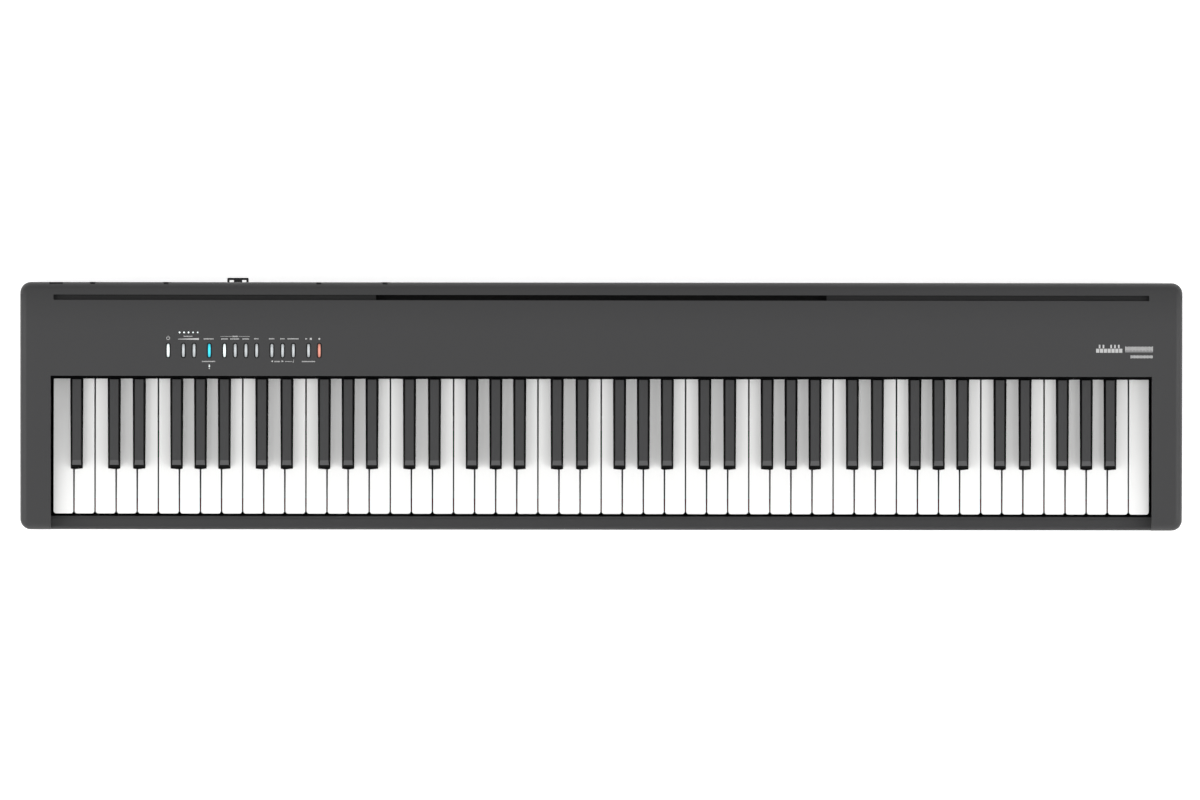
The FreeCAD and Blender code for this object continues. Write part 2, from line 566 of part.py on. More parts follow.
def make_upper_case():
    outer = case_block(0.0, SEAM_Z)
    cavity = case_block(WALL, SEAM_Z - 20)
    opening = box(-OPENING_HALF, OPENING_HALF, FRONT_Y - 10, LIP_Y, SEAM_Z - 1, CASE_HEIGHT + 10)
    lip_z = KEY_TOP_Z + LIP_CLEARANCE
    walls = [
        box(-OPENING_HALF - WALL, -OPENING_HALF, FRONT_Y - 1, LIP_Y + WALL, SEAM_Z, CASE_HEIGHT),
        box(OPENING_HALF, OPENING_HALF + WALL, FRONT_Y - 1, LIP_Y + WALL, SEAM_Z, CASE_HEIGHT),
        box(-OPENING_HALF - WALL, OPENING_HALF + WALL, LIP_Y, LIP_Y + WALL, lip_z, CASE_HEIGHT),
        rest_slot_box(WALL - 1, REST_SLOT_DEPTH + 2),
    ]
    posts = [cylinder(x, y, POST_BOTTOM_Z, CASE_HEIGHT, POST_RADIUS) for x, y in post_places()]
    skin_block = case_block(1.0, POST_BOTTOM_Z - 5)
    shell = outer.cut(cavity).cut(opening)
    trough = top_groove(WALL - 1).common(skin_block)
    inner = [wall.common(outer) for wall in walls] + [post.common(skin_block) for post in posts] + [trough]
    body = fused([shell] + inner)
    cuts = [rest_slot_box(0.0, REST_SLOT_DEPTH), top_groove(0.0)]
    cuts += [on_panel(oval_prism(BUTTON_WIDTH + 2 * BUTTON_GAP, BUTTON_LENGTH + 2 * BUTTON_GAP, -WALL - 1, 2),
                      x, BUTTON_D) for _, x in button_places()]
    cuts += [on_panel(cylinder(0, 0, -WALL - 1, 2, LAMP_RADIUS), x, d) for x, d in lamp_places()]
    cuts += [cylinder(x, y, POST_BOTTOM_Z - 1, POST_BOTTOM_Z + SCREW_LENGTH, SCREW_SHANK_RADIUS)
             for x, y in post_places()]
    x0, x1, z0, z1 = JACK_PANEL
    cuts.append(box(x0, x1, REAR_Y - WALL - 1, REAR_Y + 1, z0, z1))
    cuts += [box(x - width / 2, x + width / 2, REAR_Y - 2.4, REAR_Y + 1, CASE_HEIGHT - 16, CASE_HEIGHT)
             for x, width in EDGE_MARKS]
    return body.cut(Part.makeCompound(cuts))


def make_lower_case():
    """The tray: floor, low walls, bosses under the chassis and around the screws and inserts."""
    z1 = SEAM_Z
    outer = rounded_prism(-CASE_HALF, CASE_HALF, FRONT_Y, REAR_Y, BASE_Z, z1, PLAN_RADIUS)
    foot_edges = [e for e in outer.Edges if e.BoundBox.ZMax < BASE_Z + 0.1]
    outer = outer.makeChamfer(TRAY_CHAMFER, foot_edges)
    cavity = rounded_prism(-CASE_HALF + WALL, CASE_HALF - WALL, FRONT_Y + WALL, REAR_Y - WALL, FLOOR_Z, z1 + 1,
                           PLAN_RADIUS - WALL)
    cavity = cavity.makeChamfer(TRAY_CHAMFER - 1, [e for e in cavity.Edges if e.BoundBox.ZMax < FLOOR_Z + 0.1])
    bosses = [cylinder(x, y, FLOOR_Z - 1, CHASSIS_Z, POST_RADIUS) for x, y in chassis_screw_places()]
    bosses += [cylinder(x, y, FLOOR_Z - 1, POST_BOTTOM_Z, POST_RADIUS) for x, y in post_places()]
    bosses += [cylinder(x, y, FLOOR_Z - 1, BASE_Z + INSERT_LENGTH + 2, INSERT_RADIUS + 2.5)
               for x, y in insert_places()]
    rims = [oval_at(x, SPEAKER_Y, SPEAKER_LENGTH + 4, SPEAKER_WIDTH + 4, FLOOR_Z - 1, FLOOR_Z + 3)
            for x in (-SPEAKER_X, SPEAKER_X)]
    body = fused([outer.cut(cavity)] + bosses + rims)
    cuts = [cylinder(x, y, BASE_Z - 1, CHASSIS_Z + 1, SCREW_SHANK_RADIUS) for x, y in chassis_screw_places()]
    cuts += [cylinder(x, y, BASE_Z - 1, POST_BOTTOM_Z + 1, SCREW_SHANK_RADIUS) for x, y in post_places()]
    cuts += [cylinder(x, y, BASE_Z - 1, SCREW_SEAT_Z, SCREW_HEAD_RADIUS + 0.4) for x, y in post_places()]
    cuts += [cylinder(x, y, BASE_Z - 1, BASE_Z + INSERT_LENGTH, INSERT_RADIUS) for x, y in insert_places()]
    cuts += [oval_at(x, SPEAKER_Y, SPEAKER_LENGTH - 12, SPEAKER_WIDTH - 12, BASE_Z - 1, FLOOR_Z + 4)
             for x in (-SPEAKER_X, SPEAKER_X)]
    cuts += [oval_at(x, SPEAKER_Y, SPEAKER_LENGTH - 4, SPEAKER_WIDTH - 4, BASE_Z - 1, BASE_Z + GRILLE_THICKNESS)
             for x in (-SPEAKER_X, SPEAKER_X)]
    cuts += [oval_at(x, SPEAKER_Y, SPEAKER_LENGTH, SPEAKER_WIDTH, FLOOR_Z, FLOOR_Z + 4)
             for x in (-SPEAKER_X, SPEAKER_X)]
    return body.cut(Part.makeCompound(cuts))


def oval_at(x, y, length, width, z0, z1):
    """An upright oval, long along X, centred on (x, y)."""
    oval = oval_prism(width, length, z0, z1)
    oval.rotate(Vector(0, 0, 0), Vector(0, 0, 1), 90)
    oval.translate(Vector(x, y, 0))
    return oval


def insert_places():
    half_y = STAND_SPACING_Y / 2
    return [(x, y) for x in (-STAND_X, STAND_X) for y in (-half_y, half_y)]


def foot_places():
    foot_x = CASE_HALF - FOOT_INSET
    return [(x, y) for x in (-foot_x, foot_x) for y in (FRONT_Y + FOOT_FRONT, REAR_Y - FOOT_REAR)]


def make_rubber_feet():
    feet = []
    for x, y in foot_places():
        pad = cylinder(x, y, 0.0, FOOT_HEIGHT, FOOT_RADIUS)
        rim = [e for e in pad.Edges if e.BoundBox.ZMax < 0.1]
        feet.append(pad.makeFillet(1.5, rim))
    return feet


def make_stand_inserts():
    """Threaded brass bushes in the underside, where a stand's screws go."""
    return [cylinder(x, y, BASE_Z, BASE_Z + INSERT_LENGTH, INSERT_RADIUS).cut(
        cylinder(x, y, BASE_Z - 1, BASE_Z + INSERT_LENGTH + 1, INSERT_BORE_RADIUS)) for x, y in insert_places()]


def pan_screw(x, y, z, up, length):
    """A pan-head screw whose head seats at z; up is 1 when its shank points up and -1 when down."""
    sides = sorted((z, z - up * SCREW_HEAD_HEIGHT))
    shank = sorted((z, z + up * length))
    head = cylinder(x, y, sides[0], sides[1], SCREW_HEAD_RADIUS)
    drive_z = sorted((z - up * SCREW_HEAD_HEIGHT, z - up * (SCREW_HEAD_HEIGHT - 1.2)))
    slots = [box(x - a, x + a, y - b, y + b, *drive_z) for a, b in ((2.0, 0.4), (0.4, 2.0))]
    return head.fuse(cylinder(x, y, *shank, SCREW_SHANK_RADIUS)).cut(slots[0].fuse(slots[1]))


def make_screws():
    below = [pan_screw(x, y, SCREW_SEAT_Z, 1, SCREW_LENGTH) for x, y in post_places()]
    above = [pan_screw(x, y, CHASSIS_TOP_Z, -1, SCREW_LENGTH) for x, y in chassis_screw_places()]
    return below + above


def make_key_slip():
    """The low rail in front of the keys, folded back and down at its top."""
    y0, y1 = FRONT_Y + SLIP_SETBACK, KEY_FRONT_Y - SLIP_GAP
    half, z0, z1 = OPENING_HALF, SEAM_Z, SLIP_TOP_Z
    outer = box(-half, half, y0, y1, z0, z1)
    nose = [e for e in outer.Edges if e.BoundBox.XLength > half and e.BoundBox.ZMin > z1 - 1]
    outer = outer.makeFillet(4.0, [e for e in nose if e.BoundBox.YMax < y0 + 1])
    inner = box(-half - 1, half + 1, y0 + WALL, y1 - WALL, z0 - 1, z1 - WALL)
    back = box(-half - 1, half + 1, y1 - WALL - 1, y1 + 1, z0 - 1, z1 - 16)
    holes = [rod_along_y(x, y0 - 1, y0 + WALL + 1, SOCKET_Z, BEZEL_RADIUS) for x in PHONES_X]
    return outer.cut(inner).cut(Part.makeCompound([back] + holes))


def jack(x, y_face, inward, radius):
    """A round socket: bezel through its panel, block behind; inward is +1 when the plug goes to +Y."""
    end = y_face + inward * (BORE_LENGTH + 2)
    step = y_face + inward * 3.4
    bezel = rod_along_y(x, *sorted((y_face, step + inward)), SOCKET_Z, BEZEL_RADIUS)
    body = box(x - 7, x + 7, *sorted((step + inward * 0.2, end)), SOCKET_Z - 7, SOCKET_Z + 7)
    bore = rod_along_y(x, *sorted((y_face - inward, y_face + inward * BORE_LENGTH)), SOCKET_Z, radius)
    return bezel.fuse(body).cut(bore)


def make_jack_sockets():
    front = [jack(x, FRONT_Y + SLIP_SETBACK - 0.4, 1, JACK_RADIUS) for x in PHONES_X]
    rear = [jack(x, REAR_Y + 0.4, -1, JACK_RADIUS) for x in (SUSTAIN_X, LINE_OUT_X)]
    return front + rear + [jack(DC_X, REAR_Y + 0.4, -1, DC_RADIUS)]


def shell_socket_boxes(grow, depth, out):
    return [box(x - w / 2 - grow, x + w / 2 + grow, REAR_Y - depth, REAR_Y + out,
                SOCKET_Z - h / 2 - grow, SOCKET_Z + h / 2 + grow) for x, w, h in SHELL_SOCKETS]


def make_shell_sockets():
    """The square data socket and the wide pedal-unit socket: thin metal shells, closed behind."""
    shells = shell_socket_boxes(SHELL_WALL, SHELL_DEPTH + SHELL_WALL, 0.0)
    return [shell.cut(hole) for shell, hole in zip(shells, shell_socket_boxes(0.0, SHELL_DEPTH, 1.0))]


def make_rear_jack_panel():
    """A plate let into the rear wall, flush with it, with a lip behind the wall."""
    x0, x1, z0, z1 = JACK_PANEL
    plate = box(x0, x1, REAR_Y - PANEL_PLATE - WALL, REAR_Y - WALL, z0, z1)
    face = box(x0, x1, REAR_Y - WALL, REAR_Y - 0.5, z0, z1)
    lip = box(x0 - 4, x1 + 4, REAR_Y - PANEL_PLATE - WALL, REAR_Y - WALL, z0 - 4, z1 + 4)
    thin = box(x0 + 4, x1 - 4, REAR_Y - PANEL_PLATE - WALL - 1, REAR_Y - WALL, z0 + 4, z1 - 4)
    body = fused([plate, face, lip]).cut(thin)
    holes = [rod_along_y(x, REAR_Y - WALL - PANEL_PLATE - 1, REAR_Y + 1, SOCKET_Z, BEZEL_RADIUS)
             for x in (SUSTAIN_X, LINE_OUT_X, DC_X)]
    return body.cut(Part.makeCompound(holes + shell_socket_boxes(SHELL_WALL, WALL + PANEL_PLATE + 1, 1.0)))


def make_cord_hook():
    """A strain-relief frame on the rear wall: an outer bar, two end arms and a broad web between them."""
    z0, z1 = HOOK_Z, HOOK_Z + HOOK_HEIGHT
    back = REAR_Y + HOOK_REACH
    half = HOOK_WIDTH / 2
    outer = box(HOOK_X - half, HOOK_X + half, REAR_Y, back, z0, z1)
    corners = [e for e in outer.Edges if e.BoundBox.ZLength > HOOK_HEIGHT - 1 and e.BoundBox.YMin > REAR_Y + 1]
    outer = outer.makeFillet(HOOK_BAR / 2, corners)
    loops = [box(*sorted((HOOK_X + side * HOOK_WEB / 2, HOOK_X + side * (half - HOOK_BAR))), REAR_Y - 1,
                 back - HOOK_BAR, z0 - 1, z1 + 1) for side in (-1, 1)]
    return outer.cut(Part.makeCompound(loops))


def make_name_felt():
    return box(-OPENING_HALF + 0.3, OPENING_HALF - 0.3, SHOW_END_Y + 0.5, LIP_Y + WALL - 1,
               KEY_TOP_Z + 1.2, KEY_TOP_Z + 4.0)


def make_rod(y, z):
    return rod_along_x(-CHASSIS_HALF, CHASSIS_HALF, y, z, ROD_RADIUS)


# ---- panel controls ----
def button(x):
    cap = oval_prism(BUTTON_WIDTH, BUTTON_LENGTH, BUTTON_LOW, BUTTON_PROUD)
    cap = cap.makeFillet(0.5, [e for e in cap.Edges if e.BoundBox.ZMin > BUTTON_PROUD - 0.1])
    flange = oval_prism(BUTTON_WIDTH + 2 * BUTTON_FLANGE, BUTTON_LENGTH + 2 * BUTTON_FLANGE, BUTTON_LOW,
                        -WALL - FLANGE_GAP)
    stem = cylinder(0, 0, STEM_LOW, BUTTON_LOW, 1.4)
    return on_panel(fused([cap, flange, stem]), x, BUTTON_D)


def make_level_lamps():
    """Light pipes: one short rod per lamp, flush with the panel, with a wider base under it."""
    pipe = cylinder(0, 0, -WALL, 0.05, LAMP_RADIUS).fuse(cylinder(0, 0, -WALL - 1.5, -WALL, LAMP_RADIUS + 0.9))
    return [on_panel(pipe, x, d) for x, d in lamp_places()]


def make_panel_board():
    """The circuit board under the buttons, on four posts, with one switch per button."""
    first, last = BUTTON_FIRST_X - 16, BUTTON_FIRST_X + sum(BUTTON_STEPS) + 16
    middle, half = (first + last) / 2, (last - first) / 2
    board = [box(-half, half, -16, 16, BOARD_TOP - BOARD_THICKNESS, BOARD_TOP)]
    board += [box(x - middle - 3, x - middle + 3, -3, 3, BOARD_TOP, BOARD_TOP + SWITCH_HEIGHT)
              for _, x in button_places()]
    board += [cylinder(x, y, BOARD_TOP, -WALL, 2.5) for x in (-half + 4, half - 4) for y in (-12, 12)]
    return on_panel(fused(board), middle, BUTTON_D)


def make_main_board():
    """The main circuit board on the tray's floor, with its chips, capacitors and connectors."""
    x0, x1, y0, y1, z = -330.0, -110.0, SPEAKER_Y - 50, SPEAKER_Y + 50, FLOOR_Z + 8
    top = z + BOARD_THICKNESS
    pieces = [box(x0, x1, y0, y1, z, top)]
    pieces += [cylinder(x, y, FLOOR_Z, z, 3.0) for x in (x0 + 6, x1 - 6) for y in (y0 + 6, y1 - 6)]
    pieces += [box(x0 + 60, x0 + 84, y0 + 40, y0 + 64, top, top + 2),
               box(x0 + 110, x0 + 126, y0 + 30, y0 + 40, top, top + 1.5)]
    pieces += [cylinder(x0 + 20 + 13 * i, y1 - 20, top, top + 9, 5.0) for i in range(4)]
    pieces += [box(x1 - 60 + 16 * i, x1 - 48 + 16 * i, y0 + 4, y0 + 10, top, top + 7) for i in range(3)]
    return fused(pieces)


def make_speakers():
    """Two shallow oval loudspeakers facing down: basket, cone and magnet in one piece each."""
    drivers = []
    for x in (-SPEAKER_X, SPEAKER_X):
        rim = oval_at(x, SPEAKER_Y, SPEAKER_LENGTH - 0.6, SPEAKER_WIDTH - 0.6, FLOOR_Z, FLOOR_Z + 2.5)
        rim = rim.cut(oval_at(x, SPEAKER_Y, SPEAKER_LENGTH - 16, SPEAKER_WIDTH - 16, FLOOR_Z - 1,
                              FLOOR_Z + 1.5))
        basket = Part.makeCone(SPEAKER_WIDTH / 2 - 8, 24, 10, Vector(x, SPEAKER_Y, FLOOR_Z + 2.5))
        magnet = cylinder(x, SPEAKER_Y, FLOOR_Z + 12.5, CHASSIS_Z - 2, 26)
        drivers.append(fused([rim, basket, magnet]))
    return drivers


def make_speaker_grilles():
    """A perforated oval plate under each loudspeaker, flush with the underside."""
    grilles = []
    for x in (-SPEAKER_X, SPEAKER_X):
        plate = oval_at(x, SPEAKER_Y, SPEAKER_LENGTH - 4, SPEAKER_WIDTH - 4, BASE_Z, BASE_Z + GRILLE_THICKNESS)
        slots = []
        for row in range(-5, 6):
            y = SPEAKER_Y + row * 6.0
            reach = SPEAKER_LENGTH / 2 - 12 - abs(row) * 3.4
            slots.append(box(x - reach, x - 2, y - 1.5, y + 1.5, BASE_Z - 1, FLOOR_Z))
            slots.append(box(x + 2, x + reach, y - 1.5, y + 1.5, BASE_Z - 1, FLOOR_Z))
        grilles.append(plate.cut(Part.makeCompound(slots)))
    return grilles


def main():
    keys = {pitch: [] for pitch in PITCHES}
    hammers = {pitch: [] for pitch in PITCHES}
    for pitch, colour, index, centre in keyboard():
        keys[pitch].append(white_key(index, centre) if colour == "white" else black_key(centre))
        hammers[pitch].append(hammer(centre))
    for pitch in PITCHES:
        export(f"{pitch}_keys", keys[pitch])
        export(f"{pitch}_hammers", hammers[pitch])
    for name, x in button_places():
        export(name, button(x))
    pieces = {
        "upper_case": make_upper_case(),
        "lower_case": make_lower_case(),
        "key_slip": make_key_slip(),
        "name_felt": make_name_felt(),
        "rear_jack_panel": make_rear_jack_panel(),
        "cord_hook": make_cord_hook(),
        "jack_sockets": make_jack_sockets(),
        "data_sockets": make_shell_sockets(),
        "key_chassis": make_chassis(),
        "key_pivot_rod": make_rod(KEY_PIVOT_Y, KEY_PIVOT_Z),
        "hammer_pivot_rod": make_rod(HAMMER_PIVOT_Y, HAMMER_PIVOT_Z),
        "key_guides": guide_posts(),
        "action_felts": felt_strips(),
        "sensor_board": sensor_strip(),
        "sensor_domes": sensor_domes(),
        "panel_board": make_panel_board(),
        "main_board": make_main_board(),
        "level_lamps": make_level_lamps(),
        "loudspeakers": make_speakers(),
        "speaker_grilles": make_speaker_grilles(),
        "rubber_feet": make_rubber_feet(),
        "stand_inserts": make_stand_inserts(),
        "assembly_screws": make_screws(),
    }
    for name, shapes in pieces.items():
        export(name, shapes)


main()
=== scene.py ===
import json
import math

import bmesh
import bpy
from mathutils import Matrix, Vector, noise


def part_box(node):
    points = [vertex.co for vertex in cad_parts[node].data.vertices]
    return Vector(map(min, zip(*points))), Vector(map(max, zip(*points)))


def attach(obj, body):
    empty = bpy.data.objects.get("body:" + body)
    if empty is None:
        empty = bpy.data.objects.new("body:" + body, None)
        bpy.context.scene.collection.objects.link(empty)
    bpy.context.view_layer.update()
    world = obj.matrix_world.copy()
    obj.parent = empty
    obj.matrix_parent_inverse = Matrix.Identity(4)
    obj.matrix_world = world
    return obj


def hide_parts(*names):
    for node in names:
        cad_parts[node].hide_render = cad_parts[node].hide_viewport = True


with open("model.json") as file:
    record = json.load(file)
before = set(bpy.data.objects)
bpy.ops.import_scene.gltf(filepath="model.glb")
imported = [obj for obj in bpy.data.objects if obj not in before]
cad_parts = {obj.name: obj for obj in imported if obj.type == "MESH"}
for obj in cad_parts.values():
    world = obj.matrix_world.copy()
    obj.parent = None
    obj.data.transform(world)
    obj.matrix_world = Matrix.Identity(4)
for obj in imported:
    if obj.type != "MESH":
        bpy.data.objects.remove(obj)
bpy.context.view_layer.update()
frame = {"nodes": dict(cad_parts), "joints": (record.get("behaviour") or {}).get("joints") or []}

bl_info = {
    "name": "Slab Piano",
    "version": (1, 0, 0),
    "blender": (4, 5, 0),
    "location": "View3D > Sidebar > Slab Piano",
    "description": "Builds the visible pieces of an 88-key slab piano around its packed frame",
    "category": "Object",
}

# ---- places read from the frame ----
CASE_LOW, CASE_HIGH = (Vector(corner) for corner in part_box("upper_case"))
SLIP_LOW, SLIP_HIGH = (Vector(corner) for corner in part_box("key_slip"))
WHITE_LOW, WHITE_HIGH = (Vector(corner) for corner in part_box("d_keys"))
BLACK_LOW, BLACK_HIGH = (Vector(corner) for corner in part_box("d_sharp_keys"))
FELT_LOW, FELT_HIGH = (Vector(corner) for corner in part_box("name_felt"))
JOINTS = {joint["name"]: joint for joint in frame["joints"]}
KEY_PIVOT = Vector(JOINTS["c_keys_press"]["pos_m"])
FRONT_Y, REAR_Y = CASE_LOW.y, CASE_HIGH.y
CASE_HALF = CASE_HIGH.x
SEAM_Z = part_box("lower_case")[1][2]  # where the upper case meets the tray
CAD_TOP_Z = CASE_HIGH.z
KEY_REAR_Y = KEY_PIVOT.y - 0.015

# ---- sizes and places that the pieces share ----
MM = 0.001
WHITE_COUNT = 52
WHITE_NAMES = ("c", "d", "e", "f", "g", "a", "b")
FIRST_WHITE = WHITE_NAMES.index("a")
OCTAVES = WHITE_COUNT // len(WHITE_NAMES)
ABOVE_ALL = 0.2  # a height clear of everything
PAST = 10 * MM  # how far a cutter runs past the form it cuts
BUTTON_ROW_BACK = 200.5 * MM  # front of the case to the middle of the button row
BUTTON_HOLE_WIDTH, BUTTON_HOLE_LENGTH = 5.6 * MM, 17.4 * MM
CAP_HALF_WIDTH, CAP_HALF_LENGTH = 1.6 * MM, 7.5 * MM
BRIGHT_LAMPS_END_X = -0.4591
RECESS_FRAME = 4.0 * MM  # the case's overlap around the jack panel
MARK_DEPTH, MARK_HEIGHT = 2.4 * MM, 16.0 * MM  # the small recesses in the rear edge
REAR_MARKS = [(x * MM, width * MM) for x, width in (
    (-610.0, 15.0), (-569.0, 5.5), (-487.0, 5.5), (-316.0, 5.5), (-242.0, 5.5))]
SOCKET_Z = 0.062
PHONES_X = (-0.590, -0.566)
PLUG_RADIUS, INLET_RADIUS, BEZEL_RADIUS = 3.2, 2.85, 5.5  # in millimetres, as in the turned profiles
ROUND_SOCKETS = [(-0.569, PLUG_RADIUS, "-Y"), (-0.487, PLUG_RADIUS, "-Y"), (-0.242, INLET_RADIUS, "-Y"),
                 (PHONES_X[0], PLUG_RADIUS, "Y"), (PHONES_X[1], PLUG_RADIUS, "Y")]
CASE_SCREWS = [(side * x * MM, y * MM, 12 * MM) for side in (-1, 1)
               for x, y in ((634, -115), (634, 19), (530, 124), (300, 124))]
CHASSIS_SCREWS = [(x * MM, y * MM, 37.5 * MM) for x in (-575, -300, 0, 300, 575) for y in (-100, 97)]
KEY_PAINTED_LIGHT = "face_tone"  # the attribute that paints shade and highlights on the keys' faces
INK_LIFT, INK_TOP = 0.00002, 0.00006  # bottom and top of the printed ink above the panel


def length(name, default_mm, about):
    """A length that the user may change, its default in millimetres."""
    return bpy.props.FloatProperty(name=name, description=about, default=default_mm * MM, min=0.0,
                                   unit="LENGTH", subtype="DISTANCE", precision=5)


def colour(name, rgb, about):
    """A colour that the user may change."""
    return bpy.props.FloatVectorProperty(name=name, description=about, default=(*rgb, 1.0), size=4, min=0.0,
                                         max=1.0, subtype="COLOR")


class KeyboardSizes(bpy.types.PropertyGroup):
    """Sizes of the keys."""

    pitch: length("White pitch", 23.6, "From one white key to the next")
    gap: length("White gap", 1.5, "Between neighbouring white keys")
    notch: length("Notch", 14.6, "Room cut out of the white keys for a black key")
    black_width: length("Black width", 12.8, "Black key at its foot")
    black_top: length("Black top", 10.2, "Flat top of a black key")
    offset_cd: length("C and D offset", 2.2, "C sharp and D sharp from the gaps they cover")
    offset_fa: length("F and A offset", 3.1, "F sharp and A sharp from the gaps they cover")
    head: length("Head length", 49.9, "White key from its front to the notch")
    skirt: length("Skirt", 20.0, "Height of a key's side walls")
    wall: length("Key wall", 2.0, "Thickness of a key's walls")
    ceiling: length("Key ceiling", 2.2, "Thickness under a key's top")
    corner: length("Front corner", 2.8, "Radius of a white key's front corners")
    white_round: length("White edge", 0.45, "Rounding of a white key's top edges")
    black_round: length("Black edge", 0.6, "Rounding of a black key's edges")
    bearing: length("Bearing", 3.05, "Radius of the hook that turns on the rod")


class CaseSizes(bpy.types.PropertyGroup):
    """Sizes of the case and its openings."""

    slope: bpy.props.FloatProperty(name="Slope", description="Rise of the panel to the rear",
                                   default=math.radians(6.0), subtype="ANGLE")
    crest: length("Crest radius", 141.0, "Gentle curve over the rear of the panel")
    crest_setback: length("Crest setback", 54.0, "From the rear to where that curve starts")
    rim: length("Rim", 8.0, "Roll of the top into the walls")
    plan: length("Plan corner", 12.0, "Radius of the case's upright corners")
    wall: length("Wall", 3.0, "Thickness of the case")
    groove_back: length("Groove place", 259.9, "Front of the case to the middle of the groove")
    groove_width: length("Groove width", 6.0, "Width of the groove and of the rest slot")
    groove_depth: length("Groove depth", 6.0, "Depth of the groove")
    slot_length: length("Rest slot", 504.0, "Length of the music-rest slot")
    slot_depth: length("Rest slot depth", 18.0, "Depth of the music-rest slot")
    lip_round: length("Opening edge", 0.5, "Rounding of the edges around the keyboard")


class Finishes(bpy.types.PropertyGroup):
    """Colours of the visible pieces."""

    case: colour("Case", (0.032, 0.032, 0.033), "Charcoal moulded plastic")
    slip: colour("Key slip", (0.0215, 0.0215, 0.0225), "Darker plastic in front of the keys")
    white: colour("White keys", (0.93, 0.93, 0.92), "Key tops")
    black: colour("Black keys", (0.058, 0.058, 0.059), "Sharps")
    felt: colour("Felt", (0.0015, 0.0015, 0.0018), "Name felt")
    ink: colour("Ink", (0.52, 0.52, 0.52), "Printed marks")
    cap: colour("Button cap", (0.60, 0.63, 0.65), "Unlit button")
    lamp: colour("White lamp", (0.90, 1.0, 1.0), "Lit button")
    cyan: colour("Cyan lamp", (0.03, 0.66, 0.85), "Function button")
    pink: colour("Pink lamp", (0.80, 0.30, 0.22), "Record button")


# ---- shader building ----
class Value:
    """A node socket that can stand in an expression: every operator adds its Math node."""

    def __init__(self, graph, socket):
        self.graph, self.socket = graph, socket

    def _math(self, operation, first, second):
        return self.graph.add("ShaderNodeMath", {"operation": operation}, {0: first, 1: second})

    def __add__(self, other):
        return self._math("ADD", self, other)

    def __radd__(self, other):
        return self._math("ADD", other, self)

    def __sub__(self, other):
        return self._math("SUBTRACT", self, other)

    def __rsub__(self, other):
        return self._math("SUBTRACT", other, self)

    def __mul__(self, other):
        return self._math("MULTIPLY", self, other)

    def __rmul__(self, other):
        return self._math("MULTIPLY", other, self)

    def __gt__(self, other):
        return self._math("GREATER_THAN", self, other)

    def __lt__(self, other):
        return self._math("LESS_THAN", self, other)

    def __abs__(self):
        return self._math("ABSOLUTE", self, 0.0)


class Graph:
    """The node tree of one material."""

    def __init__(self, name):
        self.material = bpy.data.materials.new(name)
        self.material.use_nodes = True
        self.tree = self.material.node_tree
        self.tree.nodes.clear()

    def add(self, kind, settings=None, inputs=None, out=0):
        """Adds a node, sets it up, then fills its sockets with values or links."""
        node = self.tree.nodes.new(kind)
        for key, value in (settings or {}).items():
            if key == "stops":
                ramp = node.color_ramp.elements
                while len(ramp) < len(value):
                    ramp.new(0.5)
                for stop, (place, shade) in zip(ramp, value):
                    stop.position, stop.color = place, (*shade[:3], 1.0)
            else:
                setattr(node, key, value)
        for key, value in (inputs or {}).items():
            if isinstance(value, Value):
                self.tree.links.new(value.socket, node.inputs[key])
            else:
                node.inputs[key].default_value = value
        return Value(self, node.outputs[out]) if node.outputs else None

    def place(self, scale=(1.0, 1.0, 1.0)):
        """Object coordinates, stretched."""
        where = self.add("ShaderNodeTexCoord", out="Object")
        return self.add("ShaderNodeMapping", {}, {"Vector": where, "Scale": scale})

    def axes(self):
        """Object coordinates, apart: the three numbers X, Y and Z."""
        where = self.add("ShaderNodeTexCoord", out="Object")
        return [self.add("ShaderNodeSeparateXYZ", {}, {0: where}, out=axis) for axis in range(3)]

    def ramp(self, value, low, high):
        """0 at low, 1 at high, straight between and flat outside."""
        return self.add("ShaderNodeMapRange", {"clamp": True}, {"Value": value, "From Min": low, "From Max": high})

    def attribute(self, name):
        """A number stored on the faces."""
        return self.add("ShaderNodeAttribute", {"attribute_name": name}, out="Fac")

    def noise(self, scale, detail=3.0, stretch=(1.0, 1.0, 1.0), roughness=0.5):
        """Cloudy noise from 0 to 1, as grain, fibres or drift."""
        return self.add("ShaderNodeTexNoise", {}, {"Vector": self.place(stretch), "Scale": scale,
                                                   "Detail": detail, "Roughness": roughness})

    def mix(self, factor, first, second):
        """From the first colour to the second."""
        return self.add("ShaderNodeMix", {"data_type": "RGBA"}, {0: factor, 6: first, 7: second}, out=2)

    def bump(self, height, distance, strength=1.0):
        """A normal that stands for small relief."""
        return self.add("ShaderNodeBump", {}, {"Height": height, "Distance": distance, "Strength": strength})

    def surface(self, **sockets):
        """The principled shader and the output; returns the finished material."""
        shader = self.add("ShaderNodeBsdfPrincipled", {}, {
            key.replace("_", " "): value for key, value in sockets.items()})
        self.add("ShaderNodeOutputMaterial", {}, {"Surface": shader})
        return self.material


def shade(rgba, factor):
    """A colour made lighter or darker."""
    return (*(min(1.0, part * factor) for part in rgba[:3]), 1.0)


